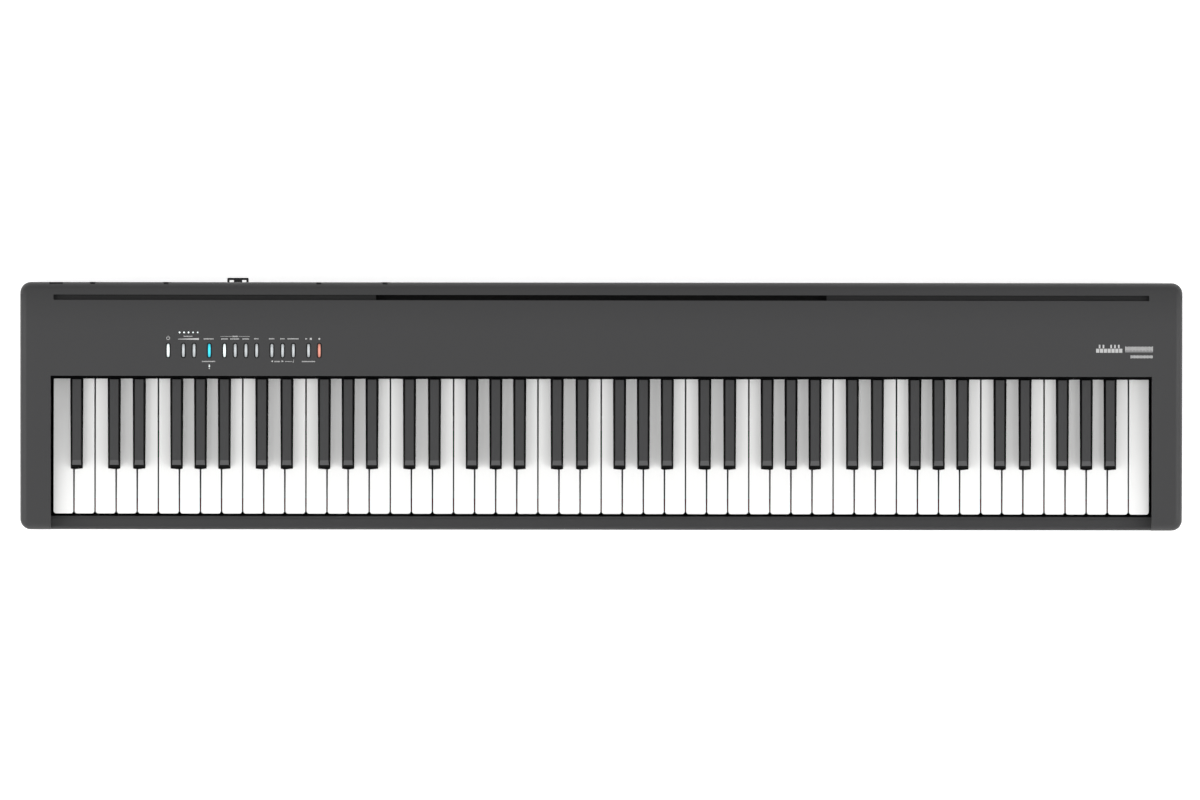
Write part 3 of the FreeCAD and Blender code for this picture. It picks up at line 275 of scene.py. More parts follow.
def moulded_plastic(name, rgba, roughness=0.55, grain=0.00002, slot_band=None):
    """Moulded plastic with a fine even grain and a faint drift of tone and gloss.

    With slot_band it darkens down the walls of the groove, out of the light's reach.
    """
    g = Graph(name)
    drift = g.noise(14.0, 2.0)
    speck = g.noise(900.0, 2.0)
    tone = g.mix(drift * 0.6 + speck * 0.4, shade(rgba, 0.94), shade(rgba, 1.06))
    if slot_band:
        middle_y, half, surface_z = slot_band
        _, along, up = g.axes()
        # painted shade: the colour goes near black down the groove and the rest slot
        groove_painted_shade = (abs(along - middle_y) < half) * g.ramp(up, surface_z - 1.2 * MM, surface_z - 9.2 * MM)
        tone = g.mix(groove_painted_shade, tone, shade(rgba, 0.01))
        speck = speck + groove_painted_shade * 6.0
    gloss = drift * 0.08 + speck * 0.06 + (roughness - 0.07)
    pits = g.noise(2600.0, 1.0)
    return g.surface(Base_Color=tone, Roughness=gloss, Normal=g.bump(pits, grain, 0.7))


def white_key_plastic(name, rgba):
    """Key tops with a faint ivory-like streak along each key and a soft sheen; their sides get painted shade."""
    g = Graph(name)
    streak = g.noise(520.0, 3.0, (1.0, 0.05, 1.0))
    cloud = g.noise(30.0, 2.0)
    tone = g.mix(streak * 0.5 + cloud * 0.5, shade(rgba, 0.985), shade(rgba, 1.012))
    # painted shade: the key sides below the top are painted nearly black
    tone = g.mix(g.attribute(KEY_PAINTED_LIGHT), shade(rgba, 0.05), tone)
    return g.surface(Base_Color=tone, Roughness=streak * 0.10 + 0.30, Normal=g.bump(streak, 0.00001, 0.5),
                     Coat_Weight=0.12, Coat_Roughness=0.25)


def black_key_plastic(name, rgba):
    """Matt ebony-like sharps with fine pores drawn out along the key, a painted highlight on the front bevel and
    painted shade on the steep walls.
    """
    g = Graph(name)
    pores = g.noise(1500.0, 3.0, (1.0, 0.06, 1.0), 0.6)
    cloud = g.noise(60.0, 2.0)
    tone = g.mix(pores, shade(rgba, 1.5), shade(rgba, 2.1))
    sharp_painted_light = g.attribute(KEY_PAINTED_LIGHT)
    # painted shade on the walls and a painted highlight on the bevel, read from the face attribute
    tone = g.mix(sharp_painted_light, shade(rgba, 0.02), tone)
    gloss = cloud * 0.1 + pores * 0.14 + (sharp_painted_light < 0.1) * 0.5 + 0.40
    return g.surface(Base_Color=tone, Roughness=gloss, Specular_IOR_Level=0.12, Normal=g.bump(pores, 0.00002, 0.6))


def pressed_felt(name, rgba):
    """Wool felt: matted fibres, slightly lighter where they stand up."""
    g = Graph(name)
    fibres = g.noise(1800.0, 5.0, (1.0, 1.0, 1.0), 0.75)
    lint = g.noise(240.0, 3.0)
    tone = g.mix(fibres * 0.7 + lint * 0.3, shade(rgba, 0.6), shade(rgba, 2.0))
    return g.surface(Base_Color=tone, Roughness=0.95, Normal=g.bump(fibres, 0.0004, 0.8), Sheen_Weight=0.03,
                     Sheen_Roughness=0.6, Specular_IOR_Level=0.1)


def brushed_metal(name, rgba, roughness=0.3):
    """Metal with fine lines drawn along X."""
    g = Graph(name)
    lines = g.noise(900.0, 3.0, (0.05, 1.0, 1.0))
    tone = g.mix(lines, shade(rgba, 0.88), shade(rgba, 1.08))
    return g.surface(Base_Color=tone, Metallic=1.0, Roughness=lines * 0.16 + roughness,
                     Normal=g.bump(lines, 0.00002, 0.5))


def soft_rubber(name, rgba):
    """Matt rubber with a paler bloom."""
    g = Graph(name)
    bloom = g.noise(70.0, 4.0)
    grain = g.noise(1600.0, 2.0)
    tone = g.mix(bloom, shade(rgba, 0.8), shade(rgba, 1.35))
    return g.surface(Base_Color=tone, Roughness=bloom * 0.12 + 0.72, Normal=g.bump(grain, 0.00005, 0.6))


def circuit_board(name, rgba):
    """Solder mask over copper runs, with pale plated spots."""
    g = Graph(name)
    runs = g.add("ShaderNodeTexBrick", {"offset": 0.37}, {
        "Vector": g.place(), "Scale": 120.0, "Mortar Size": 0.06, "Color1": shade(rgba, 0.9),
        "Color2": shade(rgba, 1.15), "Mortar": shade(rgba, 2.1)})
    spots = g.add("ShaderNodeTexVoronoi", {}, {"Vector": g.place(), "Scale": 260.0}) < 0.10
    tone = g.mix(spots, runs, (0.55, 0.50, 0.38, 1.0))
    return g.surface(Base_Color=tone, Roughness=0.35 - spots * 0.1, Metallic=spots * 0.8)


def lit_cap(name, rgba, glow, place, slope):
    """A translucent cap whose glow is brightest in its middle and dimmer towards its rim; its colour has painted
    shade towards the rim, and below the panel it is painted near black as shade, with no glow.
    """
    g = Graph(name)
    across, along, up = g.axes()
    panel_lift = place.z * math.cos(slope) - place.y * math.sin(slope)
    above = up * math.cos(slope) - along * math.sin(slope) - panel_lift > -1.2 * MM
    far = abs(along - place.y) * (1.0 / CAP_HALF_LENGTH)
    aside = abs(across - place.x) * (1.0 / CAP_HALF_WIDTH)
    rim = g.ramp(far * far * 0.7 + aside * aside * 0.8, 0.0, 1.0)
    frost = g.noise(1400.0, 2.0)
    # painted shade: the cap's colour darkens towards its rim
    tone = g.mix(rim * 0.9 + frost * 0.05, rgba, shade(rgba, 0.30))
    # painted shade: below the panel the cap is painted near black and its glow is cut
    tone = g.mix(above, (0.004, 0.004, 0.004, 1.0), tone)
    light = g.mix(rim, rgba, shade(rgba, 0.12))
    light = g.mix(above, (0.0, 0.0, 0.0, 1.0), light)
    return g.surface(Base_Color=tone, Roughness=frost * 0.1 + 0.34, Emission_Color=light,
                     Emission_Strength=glow, Normal=g.bump(frost, 0.00001, 0.5))


def printed_ink(name, rgba):
    """Screen-printed ink, slightly uneven."""
    g = Graph(name)
    dots = g.noise(5200.0, 1.0)
    tone = g.mix(dots, shade(rgba, 0.93), shade(rgba, 1.05))
    return g.surface(Base_Color=tone, Roughness=dots * 0.1 + 0.5)


# ---- mesh building ----
def mesh_object(name, bm, finish=None):
    """An object at the origin from a bmesh, which is freed."""
    mesh = bpy.data.meshes.new(name)
    bm.to_mesh(mesh)
    bm.free()
    obj = bpy.data.objects.new(name, mesh)
    bpy.context.scene.collection.objects.link(obj)
    if finish:
        mesh.materials.append(finish)
    return obj


def apply_modifiers(obj):
    """Turns the evaluated object into its plain mesh."""
    bpy.context.view_layer.update()
    graph = bpy.context.evaluated_depsgraph_get()
    mesh = bpy.data.meshes.new_from_object(obj.evaluated_get(graph))
    obj.modifiers.clear()
    old, obj.data = obj.data, mesh
    bpy.data.meshes.remove(old)
    mesh.name = obj.name


def remove(obj):
    """Deletes a helper object and its mesh."""
    mesh = obj.data
    bpy.data.objects.remove(obj)
    bpy.data.meshes.remove(mesh)


def combine(obj, other, operation):
    """Cuts, joins or intersects obj with other, and removes other."""
    boolean = obj.modifiers.new("combine", "BOOLEAN")
    boolean.operation, boolean.object, boolean.solver = operation, other, "EXACT"
    apply_modifiers(obj)
    remove(other)


def smooth_finish(obj, angle=35.0):
    """Smooth shading that keeps flat faces flat and edges above the angle sharp."""
    mesh = obj.data
    mesh.polygons.foreach_set("use_smooth", [True] * len(mesh.polygons))
    mesh.set_sharp_from_angle(angle=math.radians(angle))
    weighted = obj.modifiers.new("weighted", "WEIGHTED_NORMAL")
    weighted.keep_sharp = True
    apply_modifiers(obj)


def set_finish(obj, finish):
    """Gives a piece one finish in place of any it has."""
    obj.data.materials.clear()
    obj.data.materials.append(finish)


def own_piece(obj, body, slot, *nodes):
    """Says what a finished piece moves with and the CAD nodes it stands for; slot is not used."""
    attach(obj, body)
    if nodes:
        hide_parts(*nodes)


def add_prism(bm, loop, direction):
    """A closed prism: a planar loop of points, swept along a vector."""
    near = [bm.verts.new(point) for point in loop]
    far = [bm.verts.new(Vector(point) + direction) for point in loop]
    bm.faces.new(near)
    bm.faces.new(far[::-1])
    for i, vert in enumerate(near):
        j = (i + 1) % len(near)
        bm.faces.new((near[j], vert, far[i], far[j]))


def add_box(bm, low, high):
    """A closed box between two corners."""
    loop = [(low[0], low[1], low[2]), (high[0], low[1], low[2]), (high[0], high[1], low[2]),
            (low[0], high[1], low[2])]
    add_prism(bm, loop, Vector((0, 0, high[2] - low[2])))


def bridge_rings(bm, rings, closed=False):
    """Faces between neighbouring rings of vertices; closed also joins the last ring to the first."""
    for ring_a, ring_b in zip(rings, rings[1:] + rings[:1] if closed else rings[1:]):
        for i in range(len(ring_a)):
            j = (i + 1) % len(ring_a)
            bm.faces.new((ring_a[i], ring_a[j], ring_b[j], ring_b[i]))


def fix_normals(bm):
    """Turns every face of the closed shapes outwards."""
    bmesh.ops.recalc_face_normals(bm, faces=bm.faces)


def box_object(name, *boxes):
    """One object of closed boxes, each given by two corners."""
    bm = bmesh.new()
    for low, high in boxes:
        add_box(bm, low, high)
    fix_normals(bm)
    return mesh_object(name, bm)


def arc(centre, radius, start, end, steps):
    """Points on an arc in a plane, angles in degrees."""
    angles = [math.radians(start + (end - start) * i / steps) for i in range(steps + 1)]
    return [(centre[0] + radius * math.cos(a), centre[1] + radius * math.sin(a)) for a in angles]


def oval_loop(width, long, steps=8):
    """An oval in the local plane, long along its second axis."""
    reach = (long - width) / 2
    return arc((0, reach), width / 2, 0, 180, steps) + arc((0, -reach), width / 2, 180, 360, steps)


def bevel(bm, edges, offset, segments):
    """Rounds the edges, where there are any."""
    if edges:
        bmesh.ops.bevel(bm, geom=edges, offset=offset, offset_type="OFFSET", segments=segments, profile=0.5,
                        affect="EDGES", clamp_overlap=False)


# ---- the case's top surface ----
class Top:
    """The sloping plane and the crest behind it."""

    def __init__(self, sizes):
        self.s = sizes
        depth = REAR_Y - FRONT_Y
        self.start_y = FRONT_Y + depth - sizes.crest_setback
        self.centre_y = self.start_y + sizes.crest * math.sin(sizes.slope)
        self.centre_z = CAD_TOP_Z - sizes.crest
        self.start_z = self.centre_z + sizes.crest * math.cos(sizes.slope)

    def plane_z(self, y):
        """Height of the sloping plane, carried on past the crest."""
        return self.start_z + (y - self.start_y) * math.tan(self.s.slope)

    def height(self, y, inset=0.0):
        """Top surface at y, moved inward by inset."""
        if y <= self.start_y + inset * math.sin(self.s.slope):
            return self.plane_z(y) - inset / math.cos(self.s.slope)
        radius = self.s.crest - inset
        return self.centre_z + math.sqrt(radius ** 2 - (y - self.centre_y) ** 2)

    def normal(self):
        """Straight out of the sloping plane."""
        return Vector((0, -math.sin(self.s.slope), math.cos(self.s.slope)))

    def matrix(self, x, back):
        """Local frame on the panel, back metres behind the case's front edge."""
        y = FRONT_Y + back
        turn = Matrix.Rotation(self.s.slope, 4, "X")
        return Matrix.Translation(Vector((x, y, self.plane_z(y)))) @ turn


def add_loft(bm, rings):
    """A closed solid of rings mirrored about X = 0, each given by its right half from front to rear."""
    loops = []
    for ring in rings:
        right = [bm.verts.new(point) for point in ring]
        left = [bm.verts.new((-x, y, z)) for x, y, z in ring]
        loops.append(right + left[::-1])
    for loop, flip in ((loops[0], -1), (loops[-1], 1)):
        last = len(loop) - 1
        for i in range(len(loop) // 2 - 1):
            bm.faces.new((loop[i], loop[i + 1], loop[last - i - 1], loop[last - i])[::flip])
    bridge_rings(bm, loops)


def case_block(name, top, inset, bottom_z):
    """The case's outer form, or its cavity: rounded upright corners, and a rim that rolls into the top."""
    s = top.s
    y_front, y_rear, x_side = FRONT_Y + s.plan, REAR_Y - s.plan, CASE_HALF - s.plan
    crest_steps, corner_steps, rim_steps = 18, 10, 8
    plane_steps = 4
    ys = [y_front + (top.start_y - y_front) * i / plane_steps for i in range(plane_steps)]
    ys += [top.start_y + (y_rear - top.start_y) * i / crest_steps for i in range(crest_steps + 1)]

    def half_ring(more_inset, drop):
        """The right half of one ring of the rim."""
        radius = s.plan - inset - more_inset
        points = arc((x_side, y_front), radius, -90, 0, corner_steps)
        points += [(x_side + radius, y) for y in ys[1:-1]]
        points += arc((x_side, y_rear), radius, 0, 90, corner_steps)
        return [(x, y, top.height(y, inset) - drop) for x, y in points]

    rim = s.rim - inset
    rings = [[(x, y, bottom_z) for x, y, _ in half_ring(0.0, 0.0)]]
    for i in range(rim_steps + 1):
        angle = math.pi / 2 * i / rim_steps
        rings.append(half_ring(rim * (1 - math.cos(angle)), rim * (1 - math.sin(angle))))
    bm = bmesh.new()
    add_loft(bm, rings)
    fix_normals(bm)
    return mesh_object(name, bm)


def panel_prism(bm, top, x, back, loop, low, high):
    """A prism standing on the panel: local loop, from low to high above the surface."""
    matrix = top.matrix(x, back)
    points = [matrix @ Vector((px, py, low)) for px, py in loop]
    add_prism(bm, points, top.normal() * (high - low))


def button_nodes():
    """The CAD nodes of the panel buttons."""
    return [name for name in frame["nodes"] if name.endswith("_button")]


def middle(node):
    """Centre of a CAD node's box."""
    low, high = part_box(node)
    return (Vector(low) + Vector(high)) / 2


def case_cutters(top):
    """Everything cut through the case's skin, as one mesh of separate closed shapes."""
    s = top.s
    bm = bmesh.new()
    slot_y, half_length, half_width = FRONT_Y + s.groove_back, s.slot_length / 2, s.groove_width / 2
    add_box(bm, (-half_length, slot_y - half_width, CAD_TOP_Z - s.slot_depth),
            (half_length, slot_y + half_width, CAD_TOP_Z + PAST / 2))
    hole = oval_loop(BUTTON_HOLE_WIDTH, BUTTON_HOLE_LENGTH, 10)
    for name in button_nodes():
        panel_prism(bm, top, middle(name).x, BUTTON_ROW_BACK, hole, -5 * MM, 4 * MM)
    (x0, _, z0), (x1, _, z1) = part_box("rear_jack_panel")
    add_box(bm, (x0 + RECESS_FRAME, REAR_Y - 4 * MM, z0 + RECESS_FRAME),
            (x1 - RECESS_FRAME, REAR_Y + 2 * MM, z1 - RECESS_FRAME))
    for x, width in REAR_MARKS:
        add_box(bm, (x - width / 2, REAR_Y - MARK_DEPTH, CAD_TOP_Z - MARK_HEIGHT),
                (x + width / 2, REAR_Y + MM, CAD_TOP_Z))
    fix_normals(bm)
    return mesh_object("case_cutters", bm)


def groove_cutter(top, keys_half):
    """The groove: its floor follows the crest."""
    s = top.s
    centre, half_width = FRONT_Y + s.groove_back, s.groove_width / 2
    corner = 0.8 * MM
    plan = arc((keys_half - corner, centre - half_width + corner), corner, -90, 0, 4)
    plan += arc((keys_half - corner, centre + half_width - corner), corner, 0, 90, 4)
    floor = [(x, y, top.height(y) - s.groove_depth) for x, y in plan]
    bm = bmesh.new()
    add_loft(bm, [floor, [(x, y, CAD_TOP_Z + 3 * MM) for x, y in plan]])
    fix_normals(bm)
    return mesh_object("groove_cutter", bm)


class SLABPIANO_OT_upper_case(bpy.types.Operator):
    """Build the one-piece top moulding with its panel, cheeks, grooves and openings"""

    bl_idname = "slabpiano.upper_case"
    bl_label = "Upper Case"

    def execute(self, context):
        sizes = context.scene.slabpiano_case
        top = Top(sizes)
        opening, wall = SLIP_HIGH.x, sizes.wall
        lip_y, lip_z = FELT_HIGH.y - 2 * MM, FELT_HIGH.z
        case = case_block("upper_case_shell", top, 0.0, SEAM_Z)
        combine(case, case_block("cavity", top, wall, SEAM_Z - 2 * PAST), "DIFFERENCE")
        groove_y, half = FRONT_Y + sizes.groove_back, sizes.groove_width / 2 + 2 * MM
        slot_x, slot_z = sizes.slot_length / 2 + 2 * MM, CAD_TOP_Z - sizes.slot_depth - 2 * MM
        groove_z = CAD_TOP_Z - sizes.groove_depth - 3 * MM
        inside = MM
        walls = (
            ((-opening - wall, FRONT_Y, SEAM_Z), (-opening + inside, lip_y + wall, ABOVE_ALL)),
            ((opening - inside, FRONT_Y, SEAM_Z), (opening + wall, lip_y + wall, ABOVE_ALL)),
            ((-opening - inside, lip_y - inside, lip_z), (opening + inside, lip_y + wall, ABOVE_ALL)),
            ((-slot_x, groove_y - half, slot_z), (slot_x, groove_y + half, ABOVE_ALL)),
            ((-opening, groove_y - half, groove_z), (opening, groove_y + half, ABOVE_ALL)),
        )
        for corners in walls:
            rib = box_object("rib", corners)
            combine(rib, case_block("form", top, inside, SEAM_Z), "INTERSECT")
            combine(case, rib, "UNION")
        keyboard = box_object("opening", ((-opening, FRONT_Y - PAST, SEAM_Z - PAST), (opening, lip_y, ABOVE_ALL)))
        combine(case, keyboard, "DIFFERENCE")
        keys_half = WHITE_COUNT * context.scene.slabpiano_keys.pitch / 2
        combine(case, groove_cutter(top, keys_half - 0.8 * MM), "DIFFERENCE")
        combine(case, case_cutters(top), "DIFFERENCE")
        round_opening(case, top, opening, lip_y, sizes.lip_round)
        set_finish(case, material("case"))
        smooth_finish(case, 30.0)
        own_piece(case, "case", "charcoal_case", "upper_case")
        return {"FINISHED"}


def round_opening(case, top, opening, lip_y, radius):
    """Eases the three long edges where the top meets the keyboard opening."""
    bm = bmesh.new()
    bm.from_mesh(case.data)
    bmesh.ops.remove_doubles(bm, verts=bm.verts, dist=1e-6)
    edges, near = [], 1e-5
    for edge in bm.edges:
        ends = [vert.co for vert in edge.verts]
        on_top = all(abs(p.z - top.height(p.y)) < 20 * near for p in ends)
        along_lip = all(abs(p.y - lip_y) < near and abs(p.x) < opening + near for p in ends)
        along_cheek = all(abs(abs(p.x) - opening) < near and p.y < lip_y + near for p in ends)
        if on_top and (along_lip or along_cheek) and edge.calc_length() > 10 * near:
            edges.append(edge)
    bevel(bm, edges, radius, 3)
    bm.to_mesh(case.data)
    bm.free()


class SLABPIANO_OT_key_slip(bpy.types.Operator):
    """Build the low rail in front of the keys, rolled over at its top"""

    bl_idname = "slabpiano.key_slip"
    bl_label = "Key Slip"

    def execute(self, context):
        wall = context.scene.slabpiano_case.wall
        (x0, y0, z0), (x1, y1, z1) = SLIP_LOW, SLIP_HIGH
        radius, back_drop = 4.0 * MM, 16.0 * MM
        outer = [(y0, z0)] + arc((y0 + radius, z1 - radius), radius, 180, 90, 8)
        outer += arc((y1 - MM, z1 - MM), MM, 90, 0, 4) + [(y1, z1 - back_drop)]
        inner = [(y1 - wall, z1 - back_drop), (y1 - wall, z1 - wall), (y0 + wall, z1 - wall), (y0 + wall, z0)]
        bm = bmesh.new()
        add_prism(bm, [(x0, y, z) for y, z in outer + inner], Vector((x1 - x0, 0, 0)))
        fix_normals(bm)
        slip = mesh_object("key_slip_rail", bm)
        sockets = bmesh.new()
        for x in PHONES_X:
            loop = [(x + px, y0 - 2 * MM, SOCKET_Z + pz) for px, pz in arc((0, 0), BEZEL_RADIUS * MM, 0, 345, 23)]
            add_prism(sockets, loop, Vector((0, wall + 4 * MM, 0)))
        fix_normals(sockets)
        combine(slip, mesh_object("socket_holes", sockets), "DIFFERENCE")
        line_front, line_rear, line_depth = y1 - 3.2 * MM, y1 - 2.4 * MM, 0.7 * MM
        line = box_object("fine_line", ((x0 - MM, line_front, z1 - line_depth), (x1 + MM, line_rear, z1 + MM)))
        combine(slip, line, "DIFFERENCE")
        set_finish(slip, material("slip"))
        smooth_finish(slip, 30.0)
        own_piece(slip, "case", "charcoal_slip", "key_slip")
        return {"FINISHED"}


# ---- small parts ----
def add_lathe(bm, centre, profile, axis="Z", steps=40):
    """A closed solid of revolution; the profile is (radius, height) pairs and may start or end on the axis."""
    turn = {"Z": Matrix.Identity(3), "Y": Matrix.Rotation(math.radians(-90), 3, "X"),
            "-Y": Matrix.Rotation(math.radians(90), 3, "X")}[axis]
    rings = []
    for radius, height in profile:
        if radius < 1e-7:
            rings.append([bm.verts.new(Vector(centre) + turn @ Vector((0, 0, height)))])
            continue
        points = [(radius * math.cos(a), radius * math.sin(a), height)
                  for a in (2 * math.pi * i / steps for i in range(steps))]
        rings.append([bm.verts.new(Vector(centre) + turn @ Vector(point)) for point in points])
    closed = len(rings[0]) > 1
    for ring_a, ring_b in zip(rings, rings[1:] + rings[:1] if closed else rings[1:]):
        for i in range(steps):
            j = (i + 1) % steps
            corners = [ring_a[i % len(ring_a)], ring_a[j % len(ring_a)], ring_b[j % len(ring_b)],
                       ring_b[i % len(ring_b)]]
            bm.faces.new(list(dict.fromkeys(corners)))


def turned_object(name, profile, steps=40):
    """A turned part at the origin, its profile in millimetres."""
    bm = bmesh.new()
    add_lathe(bm, (0, 0, 0), mm_profile(profile), "Z", steps)
    fix_normals(bm)
    return mesh_object(name, bm)


def mm_profile(points):
    """A profile given in millimetres, in metres."""
    return [(radius * MM, height * MM) for radius, height in points]


def scatter(name, piece, places, finish, turn=0.0, seed=1):
    """One object with a copy of the piece at every place; the piece is removed."""
    holder = points_object(name, places)
    run_tree(holder, scatter_tree(), {"Piece": piece, "Turn": turn, "Seed": seed, "Material": finish})
    remove(piece)
    return holder


def join_into(obj, other):
    """Adds another object's faces to obj, which keeps one finish, and removes it."""
    bm = bmesh.new()
    bm.from_mesh(obj.data)
    bm.from_mesh(other.data)
    for face in bm.faces:
        face.material_index = 0
    bm.to_mesh(obj.data)
    bm.free()
    set_finish(obj, other.data.materials[0])
    remove(other)


def put_in_corners(name, node, radius, piece, finish, z, angle):
    """Copies of a round piece in the four corners of its CAD node's box; returns them as one object."""
    low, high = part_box(node)
    inset = radius * MM
    places = [(side * (high[0] - inset), y, z) for side in (-1, 1) for y in (low[1] + inset, high[1] - inset)]
    pieces = scatter(name, piece, places, finish)
    smooth_finish(pieces, angle)
    return pieces


class SLABPIANO_OT_feet(bpy.types.Operator):
    """Build the ribbed rubber feet"""

    bl_idname = "slabpiano.feet"
    bl_label = "Rubber Feet"

    def execute(self, context):
        radius = 12.0
        rings = [(0.0, 1.0), (3.5, 1.0), (4.0, 0.3), (5.2, 0.0), (6.4, 0.3), (6.9, 1.0), (7.6, 1.0), (8.1, 0.3),
                 (9.3, 0.0), (10.6, 0.2), (11.5, 0.9), (radius, 2.2), (radius, 8.0), (0.0, 8.0)]
        foot = turned_object("foot", rings)
        feet = put_in_corners("rubber_feet_set", "rubber_feet", radius, foot, material("rubber"), 0.0, 40.0)
        own_piece(feet, "case", "foot_rubber", "rubber_feet")
        return {"FINISHED"}


class SLABPIANO_OT_stand_inserts(bpy.types.Operator):
    """Build the threaded brass bushes in the underside"""

    bl_idname = "slabpiano.stand_inserts"
    bl_label = "Stand Inserts"

    def execute(self, context):
        outer, bore, depth, pitch = 4.5, 2.5, 12.0, 1.0
        thread = []
        for i in range(int(depth / pitch) - 1, 0, -1):
            thread += [(bore + 0.35, i * pitch + 0.25), (bore, i * pitch - 0.25)]
        profile = [(bore + 0.5, 0.0), (outer - 0.4, 0.0), (outer, 0.4), (outer, depth), (bore + 0.3, depth)]
        bush = turned_object("bush", profile + thread, steps=32)
        seat_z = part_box("stand_inserts")[0][2]
        bushes = put_in_corners("stand_insert_set", "stand_inserts", outer, bush, material("brass"), seat_z, 30.0)
        own_piece(bushes, "case", "brass", "stand_inserts")
        return {"FINISHED"}


def cross_head_screw(name, way):
    """A pan-head screw seated on z = 0: way is +1 with the shank upward, -1 with it downward."""
    head_radius, head_height, shank_radius, shank, pitch = 3.4, 2.2, 1.5, 14.0, 1.0
    profile = [(0.0, -head_height), (head_radius * 0.6, -head_height + 0.1),
               (head_radius * 0.9, -head_height * 0.6), (head_radius, -0.5), (head_radius, 0.0),
               (shank_radius, 0.0)]
    for i in range(1, int(shank / pitch)):
        profile += [(shank_radius, i * pitch - 0.2), (shank_radius - 0.25, i * pitch + 0.3)]
    profile += [(shank_radius * 0.5, shank - 0.4), (0.0, shank)]
    screw = turned_object(name, [(radius, way * z) for radius, z in profile], steps=16)
    screw.data.materials.append(material("screw"))
    slot_half_width, slot_half_length, slot_depth = 0.45 * MM, 1.9 * MM, 1.1
    for half_x, half_y in ((slot_half_width, slot_half_length), (slot_half_length, slot_half_width)):
        z0, z1 = sorted((-way * (head_height + 1.0) * MM, -way * (head_height - slot_depth) * MM))
        combine(screw, box_object("recess", ((-half_x, -half_y, z0), (half_x, half_y, z1))), "DIFFERENCE")
    return screw


class SLABPIANO_OT_screws(bpy.types.Operator):
    """Build the assembly screws: those up through the underside and those down through the chassis"""

    bl_idname = "slabpiano.screws"
    bl_label = "Assembly Screws"

    def execute(self, context):
        screws, downward = (
            scatter(f"screws_{way}", cross_head_screw("screw", way), places, material("screw"), turn=0.6, seed=3)
            for way, places in ((1, CASE_SCREWS), (-1, CHASSIS_SCREWS)))
        set_finish(downward, material("screw"))
        join_into(screws, downward)
        smooth_finish(screws, 30.0)
        own_piece(screws, "case", "screw_steel", "assembly_screws")
        return {"FINISHED"}


def hex_cell(name, across, hole, thickness):
    """A six-sided plate cell with a hole through it."""
    bm = bmesh.new()
    rings, corner = [], across / math.sqrt(3)
    angles = [math.radians(60 * i) for i in range(6)]
    for radius, z in ((corner, 0.0), (corner, thickness), (hole, thickness), (hole, 0.0)):
        rings.append([bm.verts.new((radius * math.sin(a), radius * math.cos(a), z)) for a in angles])
    bridge_rings(bm, rings, closed=True)
    fix_normals(bm)
    return mesh_object(name, bm)


def grille_places(centre, width, long, pitch, z):
    """Cell centres of one oval grille, in staggered rows."""
    places = []
    row_step = pitch * math.sqrt(3) / 2
    rows = int(width / 2 / row_step)
    straight = (long - width) / 2
    for row in range(-rows, rows + 1):
        y = row * row_step
        reach = straight + math.sqrt(max(0.0, (width / 2) ** 2 - y ** 2))
        shift = pitch / 2 if row % 2 else 0.0
        count = int(reach / pitch) + 1
        for column in range(-count, count + 1):
            x = column * pitch + shift
            if abs(x) <= reach:
                places.append((centre.x + x, centre.y + y, z))
    return places


def oval_ring(bm, centre, width, long, rim, z0, z1):
    """The solid border around a grille."""
    outer = [(y, x) for x, y in oval_loop(width, long, 24)]
    inner = [(y, x) for x, y in oval_loop(width - 2 * rim, long - 2 * rim, 24)]
    rings = [[bm.verts.new((centre.x + x, centre.y + y, z)) for x, y in loop]
             for loop, z in ((outer, z0), (outer, z1), (inner, z1), (inner, z0))]
    bridge_rings(bm, rings, closed=True)


class SLABPIANO_OT_grilles(bpy.types.Operator):
    """Build the two perforated speaker grilles"""

    bl_idname = "slabpiano.grilles"
    bl_label = "Speaker Grilles"

    def execute(self, context):
        low, high = (Vector(corner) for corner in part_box("speaker_grilles"))
        width = high.y - low.y
        long = width + 40.0 * MM
        pitch, hole, rim, step = 3.6 * MM, 1.25 * MM, 3.5 * MM, 0.1 * MM
        centres = [Vector((side * (high.x - long / 2), (low.y + high.y) / 2, 0.0)) for side in (-1, 1)]
        places, bm = [], bmesh.new()
        for centre in centres:
            places += grille_places(centre, width - 2 * rim + MM, long - 2 * rim + MM, pitch, low.z + step)
            oval_ring(bm, centre, width, long, rim, low.z, high.z)
        fix_normals(bm)
        cell = hex_cell("cell", pitch, hole, high.z - low.z - 3 * step)
        grilles = scatter("speaker_grille_set", cell, places, material("grille"))
        join_into(grilles, mesh_object("borders", bm, material("grille")))
        smooth_finish(grilles, 30.0)
        own_piece(grilles, "case", "grille_metal", "speaker_grilles")
        return {"FINISHED"}


class SLABPIANO_OT_sockets(bpy.types.Operator):
    """Build the round sockets at the front and rear, each with its collar and bore"""

    bl_idname = "slabpiano.sockets"
    bl_label = "Round Sockets"

    def execute(self, context):
        low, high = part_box("jack_sockets")
        bore, bezel, body, ease = 14.0, 3.6, 7.0, 0.5
        bm = bmesh.new()
        for x, radius, axis in ROUND_SOCKETS:
            y = low[1] if axis == "Y" else high[1]
            profile = [(0.0, bore), (radius, bore), (radius, ease), (radius + ease, 0.0),
                       (BEZEL_RADIUS - 0.4, 0.0), (BEZEL_RADIUS, 0.4), (BEZEL_RADIUS, bezel), (body, bezel),
                       (body, bore + 2.0), (0.0, bore + 2.0)]
            add_lathe(bm, (x, y, SOCKET_Z), mm_profile(profile), axis, 36)
        fix_normals(bm)
        sockets = mesh_object("round_sockets", bm, material("socket_black"))
        smooth_finish(sockets, 30.0)
        own_piece(sockets, "case", "socket_black", "jack_sockets")
        return {"FINISHED"}


